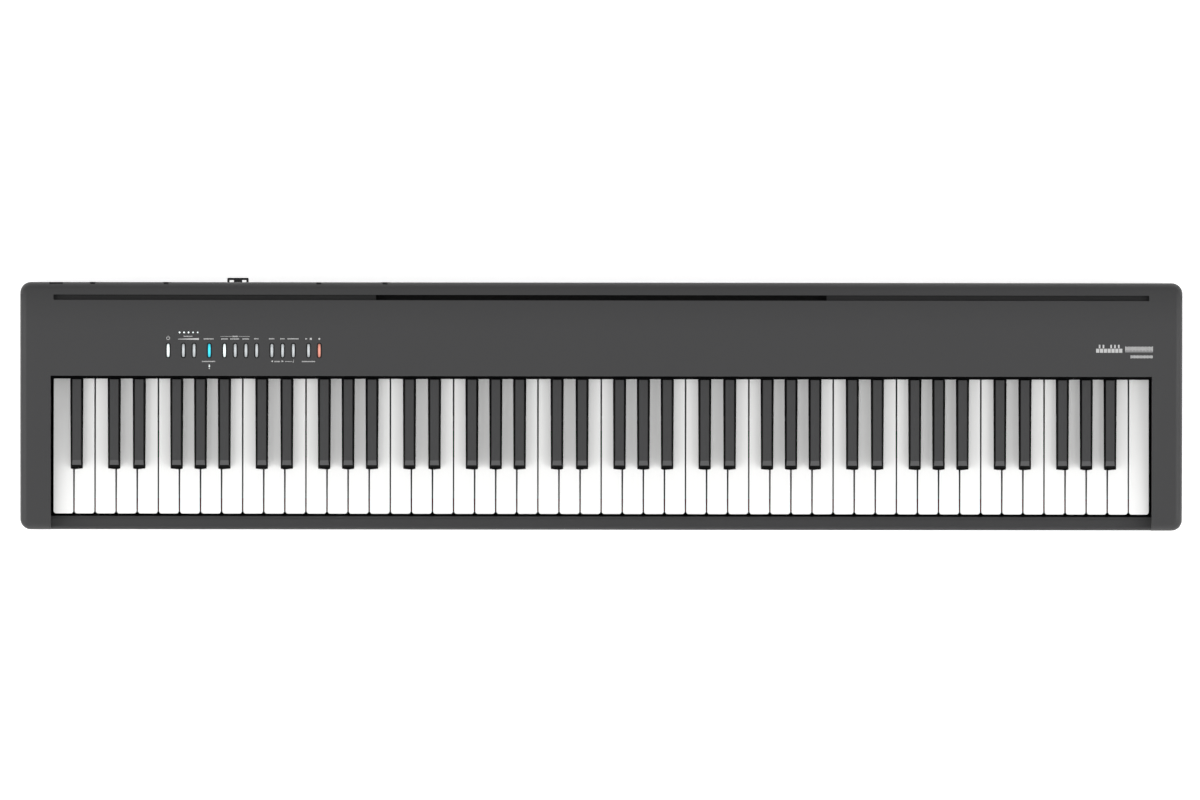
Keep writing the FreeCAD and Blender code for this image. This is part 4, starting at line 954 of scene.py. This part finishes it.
class SLABPIANO_OT_cord_hook(bpy.types.Operator):
    """Build the strain-relief hook for the mains adaptor's cord"""

    bl_idname = "slabpiano.cord_hook"
    bl_label = "Cord Hook"

    def execute(self, context):
        (x0, y0, z0), (x1, y1, z1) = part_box("cord_hook")
        bar, web = 2.6 * MM, 9.2 * MM
        middle_x, corner = (x0 + x1) / 2, 1.3 * MM
        outline = [(x0, y0)] + arc((x0 + corner, y1 - corner), corner, 180, 90, 5)
        outline += arc((x1 - corner, y1 - corner), corner, 90, 0, 5) + [(x1, y0)]
        bm = bmesh.new()
        add_prism(bm, [(x, y, z0) for x, y in outline], Vector((0, 0, z1 - z0)))
        fix_normals(bm)
        hook = mesh_object("cord_hook_frame", bm)
        loops = [((x0 + bar, y0 - MM, z0 - MM), (middle_x - web / 2, y1 - bar, z1 + MM)),
                 ((middle_x + web / 2, y0 - MM, z0 - MM), (x1 - bar, y1 - bar, z1 + MM))]
        combine(hook, box_object("loops", *loops), "DIFFERENCE")
        soften = hook.modifiers.new("soften", "BEVEL")
        soften.width, soften.segments, soften.limit_method = 0.35 * MM, 2, "ANGLE"
        apply_modifiers(hook)
        set_finish(hook, material("panel_black"))
        smooth_finish(hook, 40.0)
        own_piece(hook, "case", "black_panel", "cord_hook")
        return {"FINISHED"}


class SLABPIANO_OT_name_felt(bpy.types.Operator):
    """Build the felt strip behind the keys, with its soft uneven edges"""

    bl_idname = "slabpiano.name_felt"
    bl_label = "Name Felt"

    def execute(self, context):
        steps, seed, grain, fluff = 700, 7, 900, 0.07
        centre, half = (FELT_LOW + FELT_HIGH) / 2, (FELT_HIGH - FELT_LOW) / 2
        corner = 0.6 * MM
        section = []
        for quarter, (sy, sz) in enumerate(((1, 1), (-1, 1), (-1, -1), (1, -1))):
            section += arc((sy * (half.y - corner), sz * (half.z - corner)), corner, 90 * quarter,
                           90 * quarter + 90, 3)
        bm = bmesh.new()
        rings = []
        for i in range(steps + 1):
            x = FELT_LOW.x + (FELT_HIGH.x - FELT_LOW.x) * i / steps
            ring = []
            for y, z in section:
                wool = noise.noise(Vector((x * grain, y * grain + seed, z * grain)))
                shrink = 1.0 - fluff * (0.5 + 0.5 * wool)
                ring.append(bm.verts.new((x, centre.y + y * shrink, centre.z + z * shrink)))
            rings.append(ring)
        bm.faces.new(rings[0])
        bm.faces.new(rings[-1])
        bridge_rings(bm, rings)
        fix_normals(bm)
        strip = mesh_object("name_felt_strip", bm, material("felt"))
        smooth_finish(strip, 50.0)
        own_piece(strip, "case", "black_felt", "name_felt")
        return {"FINISHED"}


# ---- keys ----
def paint_key_light_and_shade(obj, rule):
    """Stores rule(normal, centre) on every face, as the painted light and shade that the key materials read."""
    layer = obj.data.attributes.new(KEY_PAINTED_LIGHT, "FLOAT", "FACE")
    layer.data.foreach_set("value", [rule(face.normal, face.center) for face in obj.data.polygons])


def white_painted_shade(normal, centre):
    """Key tops keep their own colour; the sides seen down the gaps get painted shade."""
    return 0.0 if abs(normal.x) > 0.75 and centre.z < WHITE_HIGH.z - 0.2 * MM else 1.0


def black_painted_light(normal, centre):
    """The flat top is matt, the bevel in front of it gets a painted highlight, and the steep walls get painted
    shade.
    """
    if centre.z < WHITE_HIGH.z or abs(normal.x) > 0.3 or normal.y < -0.75:
        return 0.0
    return 0.9 if normal.y < -0.3 else 0.55


def key_shapes(sizes):
    """For each white key shape: the sharps before and after it, as offsets from its two sides."""
    cd, fa = sizes.offset_cd, sizes.offset_fa
    return {"c": (None, -cd), "d": (-cd, cd), "e": (cd, None), "f": (None, -fa), "g": (-fa, 0.0),
            "a": (0.0, fa), "b": (fa, None), "low_a": (None, fa), "high_c": (None, None)}


def white_sides(sizes, before, after):
    """Left and right of the head, then of the tail, from the key's left boundary."""
    left, right = sizes.gap / 2, sizes.pitch - sizes.gap / 2
    tail_left = left if before is None else before + sizes.notch / 2
    tail_right = right if after is None else sizes.pitch + after - sizes.notch / 2
    return left, right, tail_left, tail_right


def white_outline(sides, y0, y_notch, y1, corner):
    """Plan of a white key, with rounded front corners."""
    left, right, tail_left, tail_right = sides
    points = arc((left + corner, y0 + corner), corner, 180, 270, 6)
    points += arc((right - corner, y0 + corner), corner, 270, 360, 6)
    if tail_right < right - 1e-5:
        points += [(right, y_notch), (tail_right, y_notch)]
    points += [(tail_right, y1), (tail_left, y1)]
    if tail_left > left + 1e-5:
        points += [(tail_left, y_notch), (left, y_notch)]
    return points


def hollow_prism(bm, outer, inner, z0, z_ceiling, z1, rounding):
    """A cap open below: outer and inner loops have the same number of points."""
    rings = []
    for loop, z in ((outer, z1), (outer, z0), (inner, z0), (inner, z_ceiling)):
        rings.append([bm.verts.new((x, y, z)) for x, y in loop])
    top = bm.faces.new(rings[0])
    bm.faces.new(rings[3][::-1])
    for upper, lower in zip(rings, rings[1:]):
        for i in range(len(upper)):
            j = (i + 1) % len(upper)
            bm.faces.new((upper[j], upper[i], lower[i], lower[j]))
    if rounding:
        bevel(bm, list(top.edges), rounding, 3)


def add_bearing(bm, x, sizes):
    """The narrow arm and the hook that snaps over the pivot rod."""
    half, reach, inner, mouth = 4.0 * MM, 7.0 * MM, sizes.bearing, 2.0 * MM
    inner_angle = math.degrees(math.asin(mouth / inner))
    outer_angle = math.degrees(math.asin(mouth / reach))
    ring = arc((KEY_PIVOT.y, KEY_PIVOT.z), reach, -90 + outer_angle, 270 - outer_angle, 24)
    ring += arc((KEY_PIVOT.y, KEY_PIVOT.z), inner, 270 - inner_angle, -90 + inner_angle, 20)
    add_prism(bm, [(x - half, y, z) for y, z in ring], Vector((2 * half, 0, 0)))
    arm_z, arm_top = WHITE_HIGH.z - sizes.skirt, KEY_PIVOT.z + reach - MM
    add_box(bm, (x - half, KEY_REAR_Y - sizes.wall, arm_z), (x + half, KEY_PIVOT.y - 5 * MM, arm_top))


def add_foot(bm, x, top_z):
    """The blade under a key that works its hammer."""
    half_width, half_length, reach = 2.5 * MM, 2.0 * MM, 155.0 * MM
    y = KEY_PIVOT.y - reach
    add_box(bm, (x - half_width, y - half_length, WHITE_LOW.z), (x + half_width, y + half_length, top_z))


def white_key(name, sizes, before, after):
    """One white key, its left boundary on x = 0."""
    y0, y1 = WHITE_LOW.y, KEY_REAR_Y
    notch_y = y0 + sizes.head
    z1, w = WHITE_HIGH.z, sizes.wall
    sides = white_sides(sizes, before, after)
    left, right, tail_left, tail_right = sides
    thin = (left + w, right - w, tail_left + w, tail_right - w)
    outer = white_outline(sides, y0, notch_y, y1, sizes.corner)
    inner = white_outline(thin, y0 + w, notch_y - w, y1 - w, sizes.corner - w)
    bm = bmesh.new()
    hollow_prism(bm, outer, inner, z1 - sizes.skirt, z1 - sizes.ceiling, z1, sizes.white_round)
    centre = (tail_left + tail_right) / 2
    add_bearing(bm, centre, sizes)
    add_foot(bm, centre, z1 - sizes.ceiling / 2)
    fix_normals(bm)
    return mesh_object(name, bm)


def black_key(name, sizes):
    """One black key, centred on x = 0."""
    half, top_half = sizes.black_width / 2, sizes.black_top / 2
    y0, y1 = BLACK_LOW.y, KEY_REAR_Y
    show_end = FELT_LOW.y - 0.5 * MM
    white_z, top_z, w = WHITE_HIGH.z, BLACK_HIGH.z, sizes.wall
    tail_top = white_z - sizes.ceiling
    bm = bmesh.new()
    outer = [(-half, y0), (half, y0), (half, y1), (-half, y1)]
    inner = [(-half + w, y0 + w), (half - w, y0 + w), (half - w, y1 - w), (-half + w, y1 - w)]
    hollow_prism(bm, outer, inner, white_z - sizes.skirt, tail_top - sizes.ceiling, tail_top, 0.0)
    low_z = white_z - MM
    lean = (half - top_half) / (top_z - low_z)
    nose, slant, slant_drop = 3.3 * MM, 8.9 * MM, 4.0 * MM
    side = [(y0, tail_top - MM), (y0, low_z), (y0 + nose, top_z - slant_drop), (y0 + slant, top_z),
            (show_end, top_z), (show_end, low_z), (show_end, tail_top - MM)]
    columns = []
    for sign in (-1, 1):
        reach = [half - max(0.0, z - low_z) * lean for _, z in side]
        columns.append([bm.verts.new((sign * x, y, z)) for x, (y, z) in zip(reach, side)])
    left, right = columns
    raised = []
    for col in columns:
        raised.append(bm.faces.new((col[0], col[1], col[5], col[6])))
        raised.append(bm.faces.new(col[1:6]))
    for i in range(len(side)):
        j = (i + 1) % len(side)
        raised.append(bm.faces.new((left[i], left[j], right[j], right[i])))
    bmesh.ops.recalc_face_normals(bm, faces=raised)
    seen = [edge for face in raised for edge in face.edges if min(v.co.z for v in edge.verts) > low_z - 1e-6]
    hard = dict.fromkeys(edge for edge in seen if edge.calc_face_angle(0.0) > math.radians(12))
    bevel(bm, sorted(hard, key=lambda edge: tuple(edge.verts[0].co)), sizes.black_round, 4)
    add_bearing(bm, 0.0, sizes)
    add_foot(bm, 0.0, tail_top)
    fix_normals(bm)
    return mesh_object(name, bm)


def new_tree(name, inputs):
    """A geometry node tree with named inputs; returns it, its group input and {name: identifier}."""
    tree = bpy.data.node_groups.new(name, "GeometryNodeTree")
    tree.interface.new_socket("Geometry", in_out="INPUT", socket_type="NodeSocketGeometry")
    tree.interface.new_socket("Geometry", in_out="OUTPUT", socket_type="NodeSocketGeometry")
    names = {}
    for label, kind in inputs:
        names[label] = tree.interface.new_socket(label, in_out="INPUT", socket_type=kind).identifier
    return tree, tree.nodes.new("NodeGroupInput"), names


def tree_node(tree, kind, settings=None, inputs=None):
    """Adds a geometry node, sets it up, then fills its sockets with values or links."""
    node = tree.nodes.new(kind)
    for key, value in (settings or {}).items():
        setattr(node, key, value)
    for key, value in (inputs or {}).items():
        if isinstance(value, bpy.types.NodeSocket):
            tree.links.new(value, node.inputs[key])
        else:
            node.inputs[key].default_value = value
    return node


def close_tree(tree, geometry, material_socket):
    """Every tree ends the same way: realize the instances and set the material."""
    real = tree_node(tree, "GeometryNodeRealizeInstances", {}, {"Geometry": geometry})
    painted = tree_node(tree, "GeometryNodeSetMaterial", {}, {"Geometry": real.outputs[0],
                                                              "Material": material_socket})
    tree_node(tree, "NodeGroupOutput", {}, {"Geometry": painted.outputs[0]})


def octave_row_tree():
    """Places one key every octave, and one odd key at the keyboard's end where there is one."""
    tree, given, names = new_tree("Octave Row", (
        ("Key", "NodeSocketObject"), ("Count", "NodeSocketInt"), ("First", "NodeSocketVector"),
        ("Octave", "NodeSocketVector"), ("Odd Key", "NodeSocketObject"), ("Odd Count", "NodeSocketInt"),
        ("Odd Place", "NodeSocketVector"), ("Material", "NodeSocketMaterial")))
    out = given.outputs
    join = tree.nodes.new("GeometryNodeJoinGeometry")
    for key, count, place in (("Key", "Count", "First"), ("Odd Key", "Odd Count", "Odd Place")):
        line = tree_node(tree, "GeometryNodeMeshLine", {"mode": "OFFSET"}, {
            "Count": out[count], "Start Location": out[place], "Offset": out["Octave"]})
        info = tree_node(tree, "GeometryNodeObjectInfo", {}, {"Object": out[key], "As Instance": True})
        row = tree_node(tree, "GeometryNodeInstanceOnPoints", {}, {
            "Points": line.outputs[0], "Instance": info.outputs["Geometry"]})
        tree.links.new(row.outputs[0], join.inputs[0])
    close_tree(tree, join.outputs[0], out["Material"])
    return tree, names


def scatter_tree():
    """Puts a piece on every vertex of the base mesh, each turned a little differently about Z."""
    tree, given, names = new_tree("Piece On Points", (
        ("Piece", "NodeSocketObject"), ("Turn", "NodeSocketFloat"), ("Seed", "NodeSocketInt"),
        ("Material", "NodeSocketMaterial")))
    out = given.outputs
    info = tree_node(tree, "GeometryNodeObjectInfo", {}, {"Object": out["Piece"], "As Instance": True})
    angle = tree_node(tree, "FunctionNodeRandomValue", {"data_type": "FLOAT"}, {
        "Min": 0.0, "Max": out["Turn"], "Seed": out["Seed"]})
    angle_out = next(o for o in angle.outputs if o.enabled and o.type == "VALUE")
    turn = tree_node(tree, "ShaderNodeCombineXYZ", {}, {"Z": angle_out})
    placed = tree_node(tree, "GeometryNodeInstanceOnPoints", {}, {
        "Points": out["Geometry"], "Instance": info.outputs["Geometry"], "Rotation": turn.outputs[0]})
    close_tree(tree, placed.outputs[0], out["Material"])
    return tree, names


def run_tree(obj, tree_and_names, values):
    """Runs a tree on an object and keeps the result as its plain mesh."""
    tree, names = tree_and_names
    modifier = obj.modifiers.new(tree.name, "NODES")
    modifier.node_group = tree
    for label, value in values.items():
        modifier[names[label]] = value
    apply_modifiers(obj)


def points_object(name, places=()):
    """An object of loose vertices, for a tree to work on."""
    bm = bmesh.new()
    for place in places:
        bm.verts.new(place)
    return mesh_object(name, bm)


class SLABPIANO_OT_keys(bpy.types.Operator):
    """Build the white and black keys, one piece for each pitch name"""

    bl_idname = "slabpiano.keys"
    bl_label = "Keys"

    def execute(self, context):
        sizes = context.scene.slabpiano_keys
        octave = Vector((len(WHITE_NAMES) * sizes.pitch, 0, 0))
        left = -WHITE_COUNT * sizes.pitch / 2
        tree = octave_row_tree()
        shapes = {name: white_key(f"proto_{name}", sizes, *sides) for name, sides in key_shapes(sizes).items()}
        sharp = black_key("proto_sharp", sizes)
        odd = {"a": ("low_a", 0), "c": ("high_c", WHITE_COUNT - 1)}
        first = {name: (WHITE_NAMES.index(name) - FIRST_WHITE) % len(WHITE_NAMES) for name in WHITE_NAMES}
        first["a"] = len(WHITE_NAMES)

        def key_row(name, key, count, index, shift, odd_key, odd_count, odd_index, finish, slot, tone):
            """Every key of one pitch name, as one piece."""
            row = points_object(f"{name}_key_row")
            run_tree(row, tree, {
                "Key": key, "Count": count, "First": Vector((left + index * sizes.pitch + shift, 0, 0)),
                "Octave": octave, "Odd Key": odd_key, "Odd Count": odd_count,
                "Odd Place": Vector((left + odd_index * sizes.pitch, 0, 0)), "Material": finish})
            smooth_finish(row, 38.0)
            paint_key_light_and_shade(row, tone)
            own_piece(row, f"{name}_keys", slot, f"{name}_keys")

        for name in WHITE_NAMES:
            odd_name, odd_index = odd.get(name, ("low_a", 0))
            key_row(name, shapes[name], OCTAVES + (name == "b"), first[name], 0.0, shapes[odd_name],
                    int(name in odd), odd_index, material("white"), "white_key", white_painted_shade)
        cd, fa = sizes.offset_cd, sizes.offset_fa
        for name, shift in {"c": -cd, "d": cd, "f": -fa, "g": 0.0, "a": fa}.items():
            index = 0 if name == "a" else first[name]
            key_row(f"{name}_sharp", sharp, OCTAVES + (name == "a"), index + 1, shift, sharp, 0, 0,
                    material("black"), "black_key", black_painted_light)
        for proto in list(shapes.values()) + [sharp]:
            remove(proto)
        return {"FINISHED"}


# ---- finishes ----
def rest_slot_band():
    """Middle and half width of the groove and its slot, and the height of the surface beside them."""
    s = bpy.context.scene.slabpiano_case
    centre = FRONT_Y + s.groove_back
    return centre, s.groove_width / 2 + 0.3 * MM, Top(s).height(centre)


FIXED_FINISHES = {
    "socket_black": (moulded_plastic, "socket_black", (0.010, 0.010, 0.011, 1.0), 0.3),
    "grille": (moulded_plastic, "grille_metal", (0.014, 0.014, 0.015, 1.0), 0.5),
    "resin": (moulded_plastic, "chassis_resin", (0.26, 0.26, 0.27, 1.0), 0.45),
    "guide": (moulded_plastic, "guide_resin", (0.66, 0.64, 0.56, 1.0), 0.4),
    "red_felt": (pressed_felt, "action_felt", (0.30, 0.03, 0.04, 1.0)),
    "steel": (brushed_metal, "steel", (0.58, 0.58, 0.60, 1.0)),
    "hammer": (brushed_metal, "hammer_steel", (0.33, 0.33, 0.35, 1.0), 0.4),
    "socket": (brushed_metal, "socket_shell", (0.50, 0.50, 0.52, 1.0), 0.28),
    "brass": (brushed_metal, "brass", (0.72, 0.52, 0.25, 1.0), 0.25),
    "screw": (brushed_metal, "screw_steel", (0.10, 0.10, 0.11, 1.0), 0.35),
    "speaker": (soft_rubber, "speaker_cone", (0.02, 0.02, 0.022, 1.0)),
    "rubber": (soft_rubber, "foot_rubber", (0.018, 0.018, 0.019, 1.0)),
    "dome": (soft_rubber, "dome_rubber", (0.30, 0.30, 0.31, 1.0)),
    "board": (circuit_board, "circuit_board", (0.015, 0.13, 0.05, 1.0)),
}
MATERIALS = {}


def chosen_finishes():
    """The finishes whose colours are the user's to choose: name to maker and what it is given."""
    f = bpy.context.scene.slabpiano_finishes
    return {
        "case": (moulded_plastic, "charcoal_case", f.case, 0.55, 0.00002, rest_slot_band()),
        "slip": (moulded_plastic, "charcoal_slip", f.slip),
        "tray": (moulded_plastic, "underside_case", shade(f.case, 0.62), 0.6, 0.00003),
        "panel_black": (moulded_plastic, "black_panel", shade(f.slip, 0.45)),
        "white": (white_key_plastic, "white_key", f.white),
        "black": (black_key_plastic, "black_key", f.black),
        "felt": (pressed_felt, "black_felt", f.felt),
        "ink": (printed_ink, "panel_ink", f.ink),
    }


def material(name):
    """Each finish is made once, when it is first asked for."""
    if name not in MATERIALS:
        maker, *given = (FIXED_FINISHES | chosen_finishes())[name]
        MATERIALS[name] = maker(*given)
    return MATERIALS[name]


NODE_FINISHES = {
    "lower_case": "tray", "rear_jack_panel": "panel_black", "data_sockets": "socket", "key_chassis": "resin",
    "key_pivot_rod": "steel", "hammer_pivot_rod": "steel", "key_guides": "guide", "action_felts": "red_felt",
    "sensor_board": "board", "sensor_domes": "dome", "panel_board": "board", "main_board": "board",
    "loudspeakers": "speaker",
}


def paint(node, finish):
    """Gives a carried-over CAD node a finish in all its slots."""
    for slot in frame["nodes"][node].material_slots:
        slot.material = finish


class SLABPIANO_OT_carried_nodes(bpy.types.Operator):
    """Give every carried-over CAD piece its own finish"""

    bl_idname = "slabpiano.carried_nodes"
    bl_label = "Carried-over Pieces"

    def execute(self, context):
        for node, finish in NODE_FINISHES.items():
            paint(node, material(finish))
        for node in frame["nodes"]:
            if node.endswith("_hammers"):
                paint(node, material("hammer"))
        return {"FINISHED"}


class SLABPIANO_OT_buttons(bpy.types.Operator):
    """Light the panel buttons and level lamps, and give the unlit buttons a faint painted glow"""

    bl_idname = "slabpiano.buttons"
    bl_label = "Buttons And Lamps"

    def execute(self, context):
        f = context.scene.slabpiano_finishes
        top = Top(context.scene.slabpiano_case)
        place = top.matrix(0.0, BUTTON_ROW_BACK).translation
        # the unlit caps get a faint painted glow, though their lamps are off
        bright, soft, unlit_painted_glow = 0.6, 0.35, 0.12
        lit = {"power_button": (f.lamp, bright), "piano_tone_button": (f.lamp, bright),
               "function_button": (f.cyan, bright), "record_button": (f.pink, soft)}
        for node in button_nodes():
            rgba, glow = lit.get(node, (f.cap, unlit_painted_glow))
            place.x = middle(node).x
            paint(node, lit_cap(f"{node}_cap", rgba, glow, place, top.s.slope))
        paint("level_lamps", level_lamp_finish(f.lamp))
        return {"FINISHED"}


def level_lamp_finish(rgba):
    """Clear light pipes: the first three lamps of the level row are bright, the last two dim."""
    g = Graph("level_lamp")
    bright = g.axes()[0] < BRIGHT_LAMPS_END_X
    frost = g.noise(2400.0, 1.0)
    light = g.mix(bright, shade(rgba, 0.30), shade(rgba, 1.0))
    tone = g.mix(frost, shade(rgba, 0.7), shade(rgba, 0.85))
    return g.surface(Base_Color=tone, Roughness=frost * 0.1 + 0.25, Emission_Color=light, Emission_Strength=0.9)


# ---- printed marks on the panel ----
def print_loop(bm, top, x, back, loop):
    """A flat shape of ink on the panel, in millimetres."""
    panel_prism(bm, top, x * MM, back * MM, [(px * MM, py * MM) for px, py in loop], INK_LIFT, INK_TOP)


def print_bar(bm, top, x0, x1, back, height):
    """A bar of ink from x0 to x1."""
    half = (x1 - x0) / 2
    print_loop(bm, top, (x0 + x1) / 2, back, [(-half, -height / 2), (half, -height / 2), (half, height / 2),
                                              (-half, height / 2)])


def print_words(bm, top, x0, x1, back, height=1.25):
    """A row of small blocks in place of a word."""
    step, block = 1.25, 0.85
    x, i = x0, 0
    while x + block <= x1 + 0.01:
        tall = height * (1.0 if i % 3 else 1.18)
        print_bar(bm, top, x, x + block, back, tall)
        x, i = x + step, i + 1


def print_ring(bm, top, x, back, radius, stroke, start, end, steps=24):
    """A ring of ink, or part of one."""
    outer = arc((0, 0), radius, start, end, steps)
    inner = arc((0, 0), radius - stroke, start, end, steps)
    for i in range(steps):
        print_loop(bm, top, x, back, [outer[i], outer[i + 1], inner[i + 1], inner[i]])


def print_disc(bm, top, x, back, radius, sides=20):
    """A dot of ink."""
    print_loop(bm, top, x, back, arc((0, 0), radius, 0, 360 - 360 / sides, sides - 1))


def print_triangle(bm, top, x, back, size, way):
    """A solid arrow: way is 1 to the right, -1 to the left."""
    print_loop(bm, top, x, back, [(-way * size, -size), (way * size, 0), (-way * size, size)][::way])


def print_keyboard_mark(bm, top, x, back):
    """A generic pictogram of a short keyboard."""
    width, height, keys, gap, sharp_half = 30.0, 9.0, 7, 0.35, 0.9
    pitch = width / keys
    for i in range(keys):
        low = x + i * pitch
        print_bar(bm, top, low + gap, low + pitch - gap, back - height * 0.25, height * 0.5)
    for i in (0, 1, 3, 4, 5):
        centre = x + (i + 1) * pitch
        print_bar(bm, top, centre - sharp_half, centre + sharp_half, back + height * 0.27, height * 0.44)


class SLABPIANO_OT_panel_marks(bpy.types.Operator):
    """Print plain bars, arrows and symbols beside the buttons"""

    bl_idname = "slabpiano.panel_marks"
    bl_label = "Panel Marks"

    def execute(self, context):
        top = Top(context.scene.slabpiano_case)
        at = {name.removesuffix("_button"): middle(name).x / MM for name in button_nodes()}
        names, upper, over, high, under, tick = 213.4, 216.2, 213.6, 214.0, 188.2, 182.4
        arrow, bar = 1.1, 0.3
        bm = bmesh.new()
        power = at["power"]
        print_ring(bm, top, power, high + 0.3, 2.0, 0.5, 120, 420)
        print_bar(bm, top, power - 0.25, power + 0.25, high + 1.9, 2.0)
        print_loop(bm, top, 0, 213.2, [(-473.2, -0.25), (-450, -0.9), (-450, 1.1), (-473.2, 0.25)])
        print_words(bm, top, -467.0, -457.2, 216.3, 1.0)
        function = at["function"]
        print_words(bm, top, function - 6.2, function + 5.6, names, 1.2)
        print_words(bm, top, function - 8.2, function + 7.4, under, 1.1)
        for side in (-1, 1):
            print_bar(bm, top, function - 0.6, function + 0.6, tick + side * 1.8, 1.6)
        piano, second, third = (at[name] for name in ("piano_tone", "second_tone", "third_tone"))
        for x, reach in ((piano, 3.6), (second, 5.4), (third, 3.8)):
            print_words(bm, top, x - reach, x + reach, names, 1.2)
        print_bar(bm, top, piano - 4.4, second - 3.6, upper, bar)
        print_words(bm, top, second - 2.9, second + 3.1, upper, 1.3)
        print_bar(bm, top, second + 4.2, third + 4.4, upper, bar)
        for name, reach in (("split", 2.8), ("song", 3.2), ("accompaniment", 2.6), ("metronome", 6.4)):
            print_words(bm, top, at[name] - reach, at[name] + reach, over, 1.2)
        song, pad, beat = (at[name] for name in ("song", "accompaniment", "metronome"))
        print_triangle(bm, top, song, under + 0.3, arrow, -1)
        print_triangle(bm, top, pad, under + 0.3, arrow, 1)
        print_words(bm, top, song + 3.0, pad - 3.0, under, 1.2)
        print_words(bm, top, pad + 3.0, beat - 1.6, under, 0.7)
        print_disc(bm, top, beat - 0.2, under - 0.5, 0.6)
        print_bar(bm, top, beat + 0.15, beat + 0.45, under + 0.9, 2.6)
        play = at["play"]
        print_triangle(bm, top, play - 2.4, over, arrow, 1)
        print_bar(bm, top, play + 1.4, play + 3.6, over, 2.2)
        print_disc(bm, top, at["record"], over, arrow)
        print_words(bm, top, play - 7.4, play + 8.2, under, 1.1)
        print_keyboard_mark(bm, top, 553.0, 203.6)
        print_bar(bm, top, 586.0, 617.0, 200.2, 0.6)
        print_words(bm, top, 586.0, 617.0, 203.6, 4.4)
        print_words(bm, top, 592.0, 617.0, 194.6, 3.0)
        fix_normals(bm)
        marks = mesh_object("panel_marks", bm, material("ink"))
        own_piece(marks, "case", "button_cap")
        return {"FINISHED"}


# ---- stage ----
LIT_POINT = Vector((0.0, 0.0, 0.1))
CAMERA_HEIGHT, VIEW_WIDTH, VIEW_LEVEL = 40.0, 1.3450, 0.06  # the width is what the camera sees at that level


def area_light(name, place, size, power):
    """A soft light of a width and a height, turned to the piano; the camera doesn't see it."""
    light = bpy.data.lights.new(name, "AREA")
    light.energy, light.shape = power, "RECTANGLE"
    light.size, light.size_y = size
    obj = bpy.data.objects.new(name, light)
    bpy.context.scene.collection.objects.link(obj)
    obj.location = place
    obj.rotation_euler = (LIT_POINT - Vector(place)).to_track_quat("-Z", "Y").to_euler()
    obj.visible_camera = False


class SLABPIANO_OT_stage(bpy.types.Operator):
    """Set the plain pale floor, the soft lights and the camera straight above"""

    bl_idname = "slabpiano.stage"
    bl_label = "Stage"

    def execute(self, context):
        scene = context.scene
        bm = bmesh.new()
        reach = 30.0
        add_box(bm, (-reach, -reach, -2 * PAST), (reach, reach, 0.0))
        fix_normals(bm)
        g = Graph("pale_floor")
        cloud = g.noise(0.6, 2.0)
        tone = g.mix(cloud, (0.93, 0.93, 0.93, 1.0), (0.95, 0.95, 0.95, 1.0))
        white = (1.0, 1.0, 1.0, 1.0)
        floor = mesh_object("pale_floor", bm, g.surface(
            Base_Color=tone, Roughness=0.9, Specular_IOR_Level=0.1, Emission_Color=white, Emission_Strength=0.56))
        world = bpy.data.worlds.new("soft_room")
        scene.world = world
        world.use_nodes = True
        background = world.node_tree.nodes["Background"].inputs
        background["Color"].default_value = white
        background["Strength"].default_value = 0.45
        area_light("overhead_softbox", (0.0, -0.2, 3.0), (4.5, 2.8), 16.0)
        for side in (-1, 1):
            area_light("side_softbox", (side * 2.8, -0.4, 2.3), (2.4, 2.4), 50.0)
        area_light("front_fill", (0.0, -3.4, 2.0), (4.0, 1.4), 34.0)
        area_light("rear_fill", (0.0, 3.4, 2.0), (4.0, 1.4), 3.0)
        lens = bpy.data.cameras.new("straight_above")
        lens.sensor_width = 36.0
        lens.lens = lens.sensor_width * (CAMERA_HEIGHT - VIEW_LEVEL) / VIEW_WIDTH
        lens.clip_end = 100.0
        camera = bpy.data.objects.new("straight_above", lens)
        camera.location = (-0.0014, 0.0046, CAMERA_HEIGHT)
        camera.rotation_euler = (0.0, 0.0, 0.0012)
        scene.collection.objects.link(camera)
        scene.camera = camera
        scene.view_settings.view_transform = "Standard"
        return {"FINISHED"}


class SLABPIANO_PT_panel(bpy.types.Panel):
    """The sizes, the finishes and a button for every piece"""

    bl_idname = "SLABPIANO_PT_panel"
    bl_label = "Slab Piano"
    bl_space_type = "VIEW_3D"
    bl_region_type = "UI"
    bl_category = "Slab Piano"

    def draw(self, context):
        layout = self.layout
        for group in ("slabpiano_keys", "slabpiano_case", "slabpiano_finishes"):
            settings = getattr(context.scene, group)
            for name in settings.__annotations__:
                layout.prop(settings, name)
        for operator in OPERATORS:
            layout.operator(operator.bl_idname)


OPERATORS = (
    SLABPIANO_OT_stage,
    SLABPIANO_OT_upper_case,
    SLABPIANO_OT_key_slip,
    SLABPIANO_OT_name_felt,
    SLABPIANO_OT_cord_hook,
    SLABPIANO_OT_sockets,
    SLABPIANO_OT_grilles,
    SLABPIANO_OT_feet,
    SLABPIANO_OT_stand_inserts,
    SLABPIANO_OT_screws,
    SLABPIANO_OT_keys,
    SLABPIANO_OT_carried_nodes,
    SLABPIANO_OT_buttons,
    SLABPIANO_OT_panel_marks,
)
GROUPS = {"slabpiano_keys": KeyboardSizes, "slabpiano_case": CaseSizes, "slabpiano_finishes": Finishes}


def register():
    """Registers the settings, the operators and the panel."""
    for name, group in GROUPS.items():
        bpy.utils.register_class(group)
        setattr(bpy.types.Scene, name, bpy.props.PointerProperty(type=group))
    for cls in OPERATORS + (SLABPIANO_PT_panel,):
        bpy.utils.register_class(cls)


def unregister():
    """Takes everything that register added away again."""
    for cls in reversed(OPERATORS + (SLABPIANO_PT_panel,)):
        bpy.utils.unregister_class(cls)
    for name, group in GROUPS.items():
        delattr(bpy.types.Scene, name)
        bpy.utils.unregister_class(group)


def main():
    """Builds every piece in order."""
    register()
    for operator in OPERATORS:
        family, name = operator.bl_idname.split(".")
        getattr(getattr(bpy.ops, family), name)()


if __name__ == "__main__":
    main()
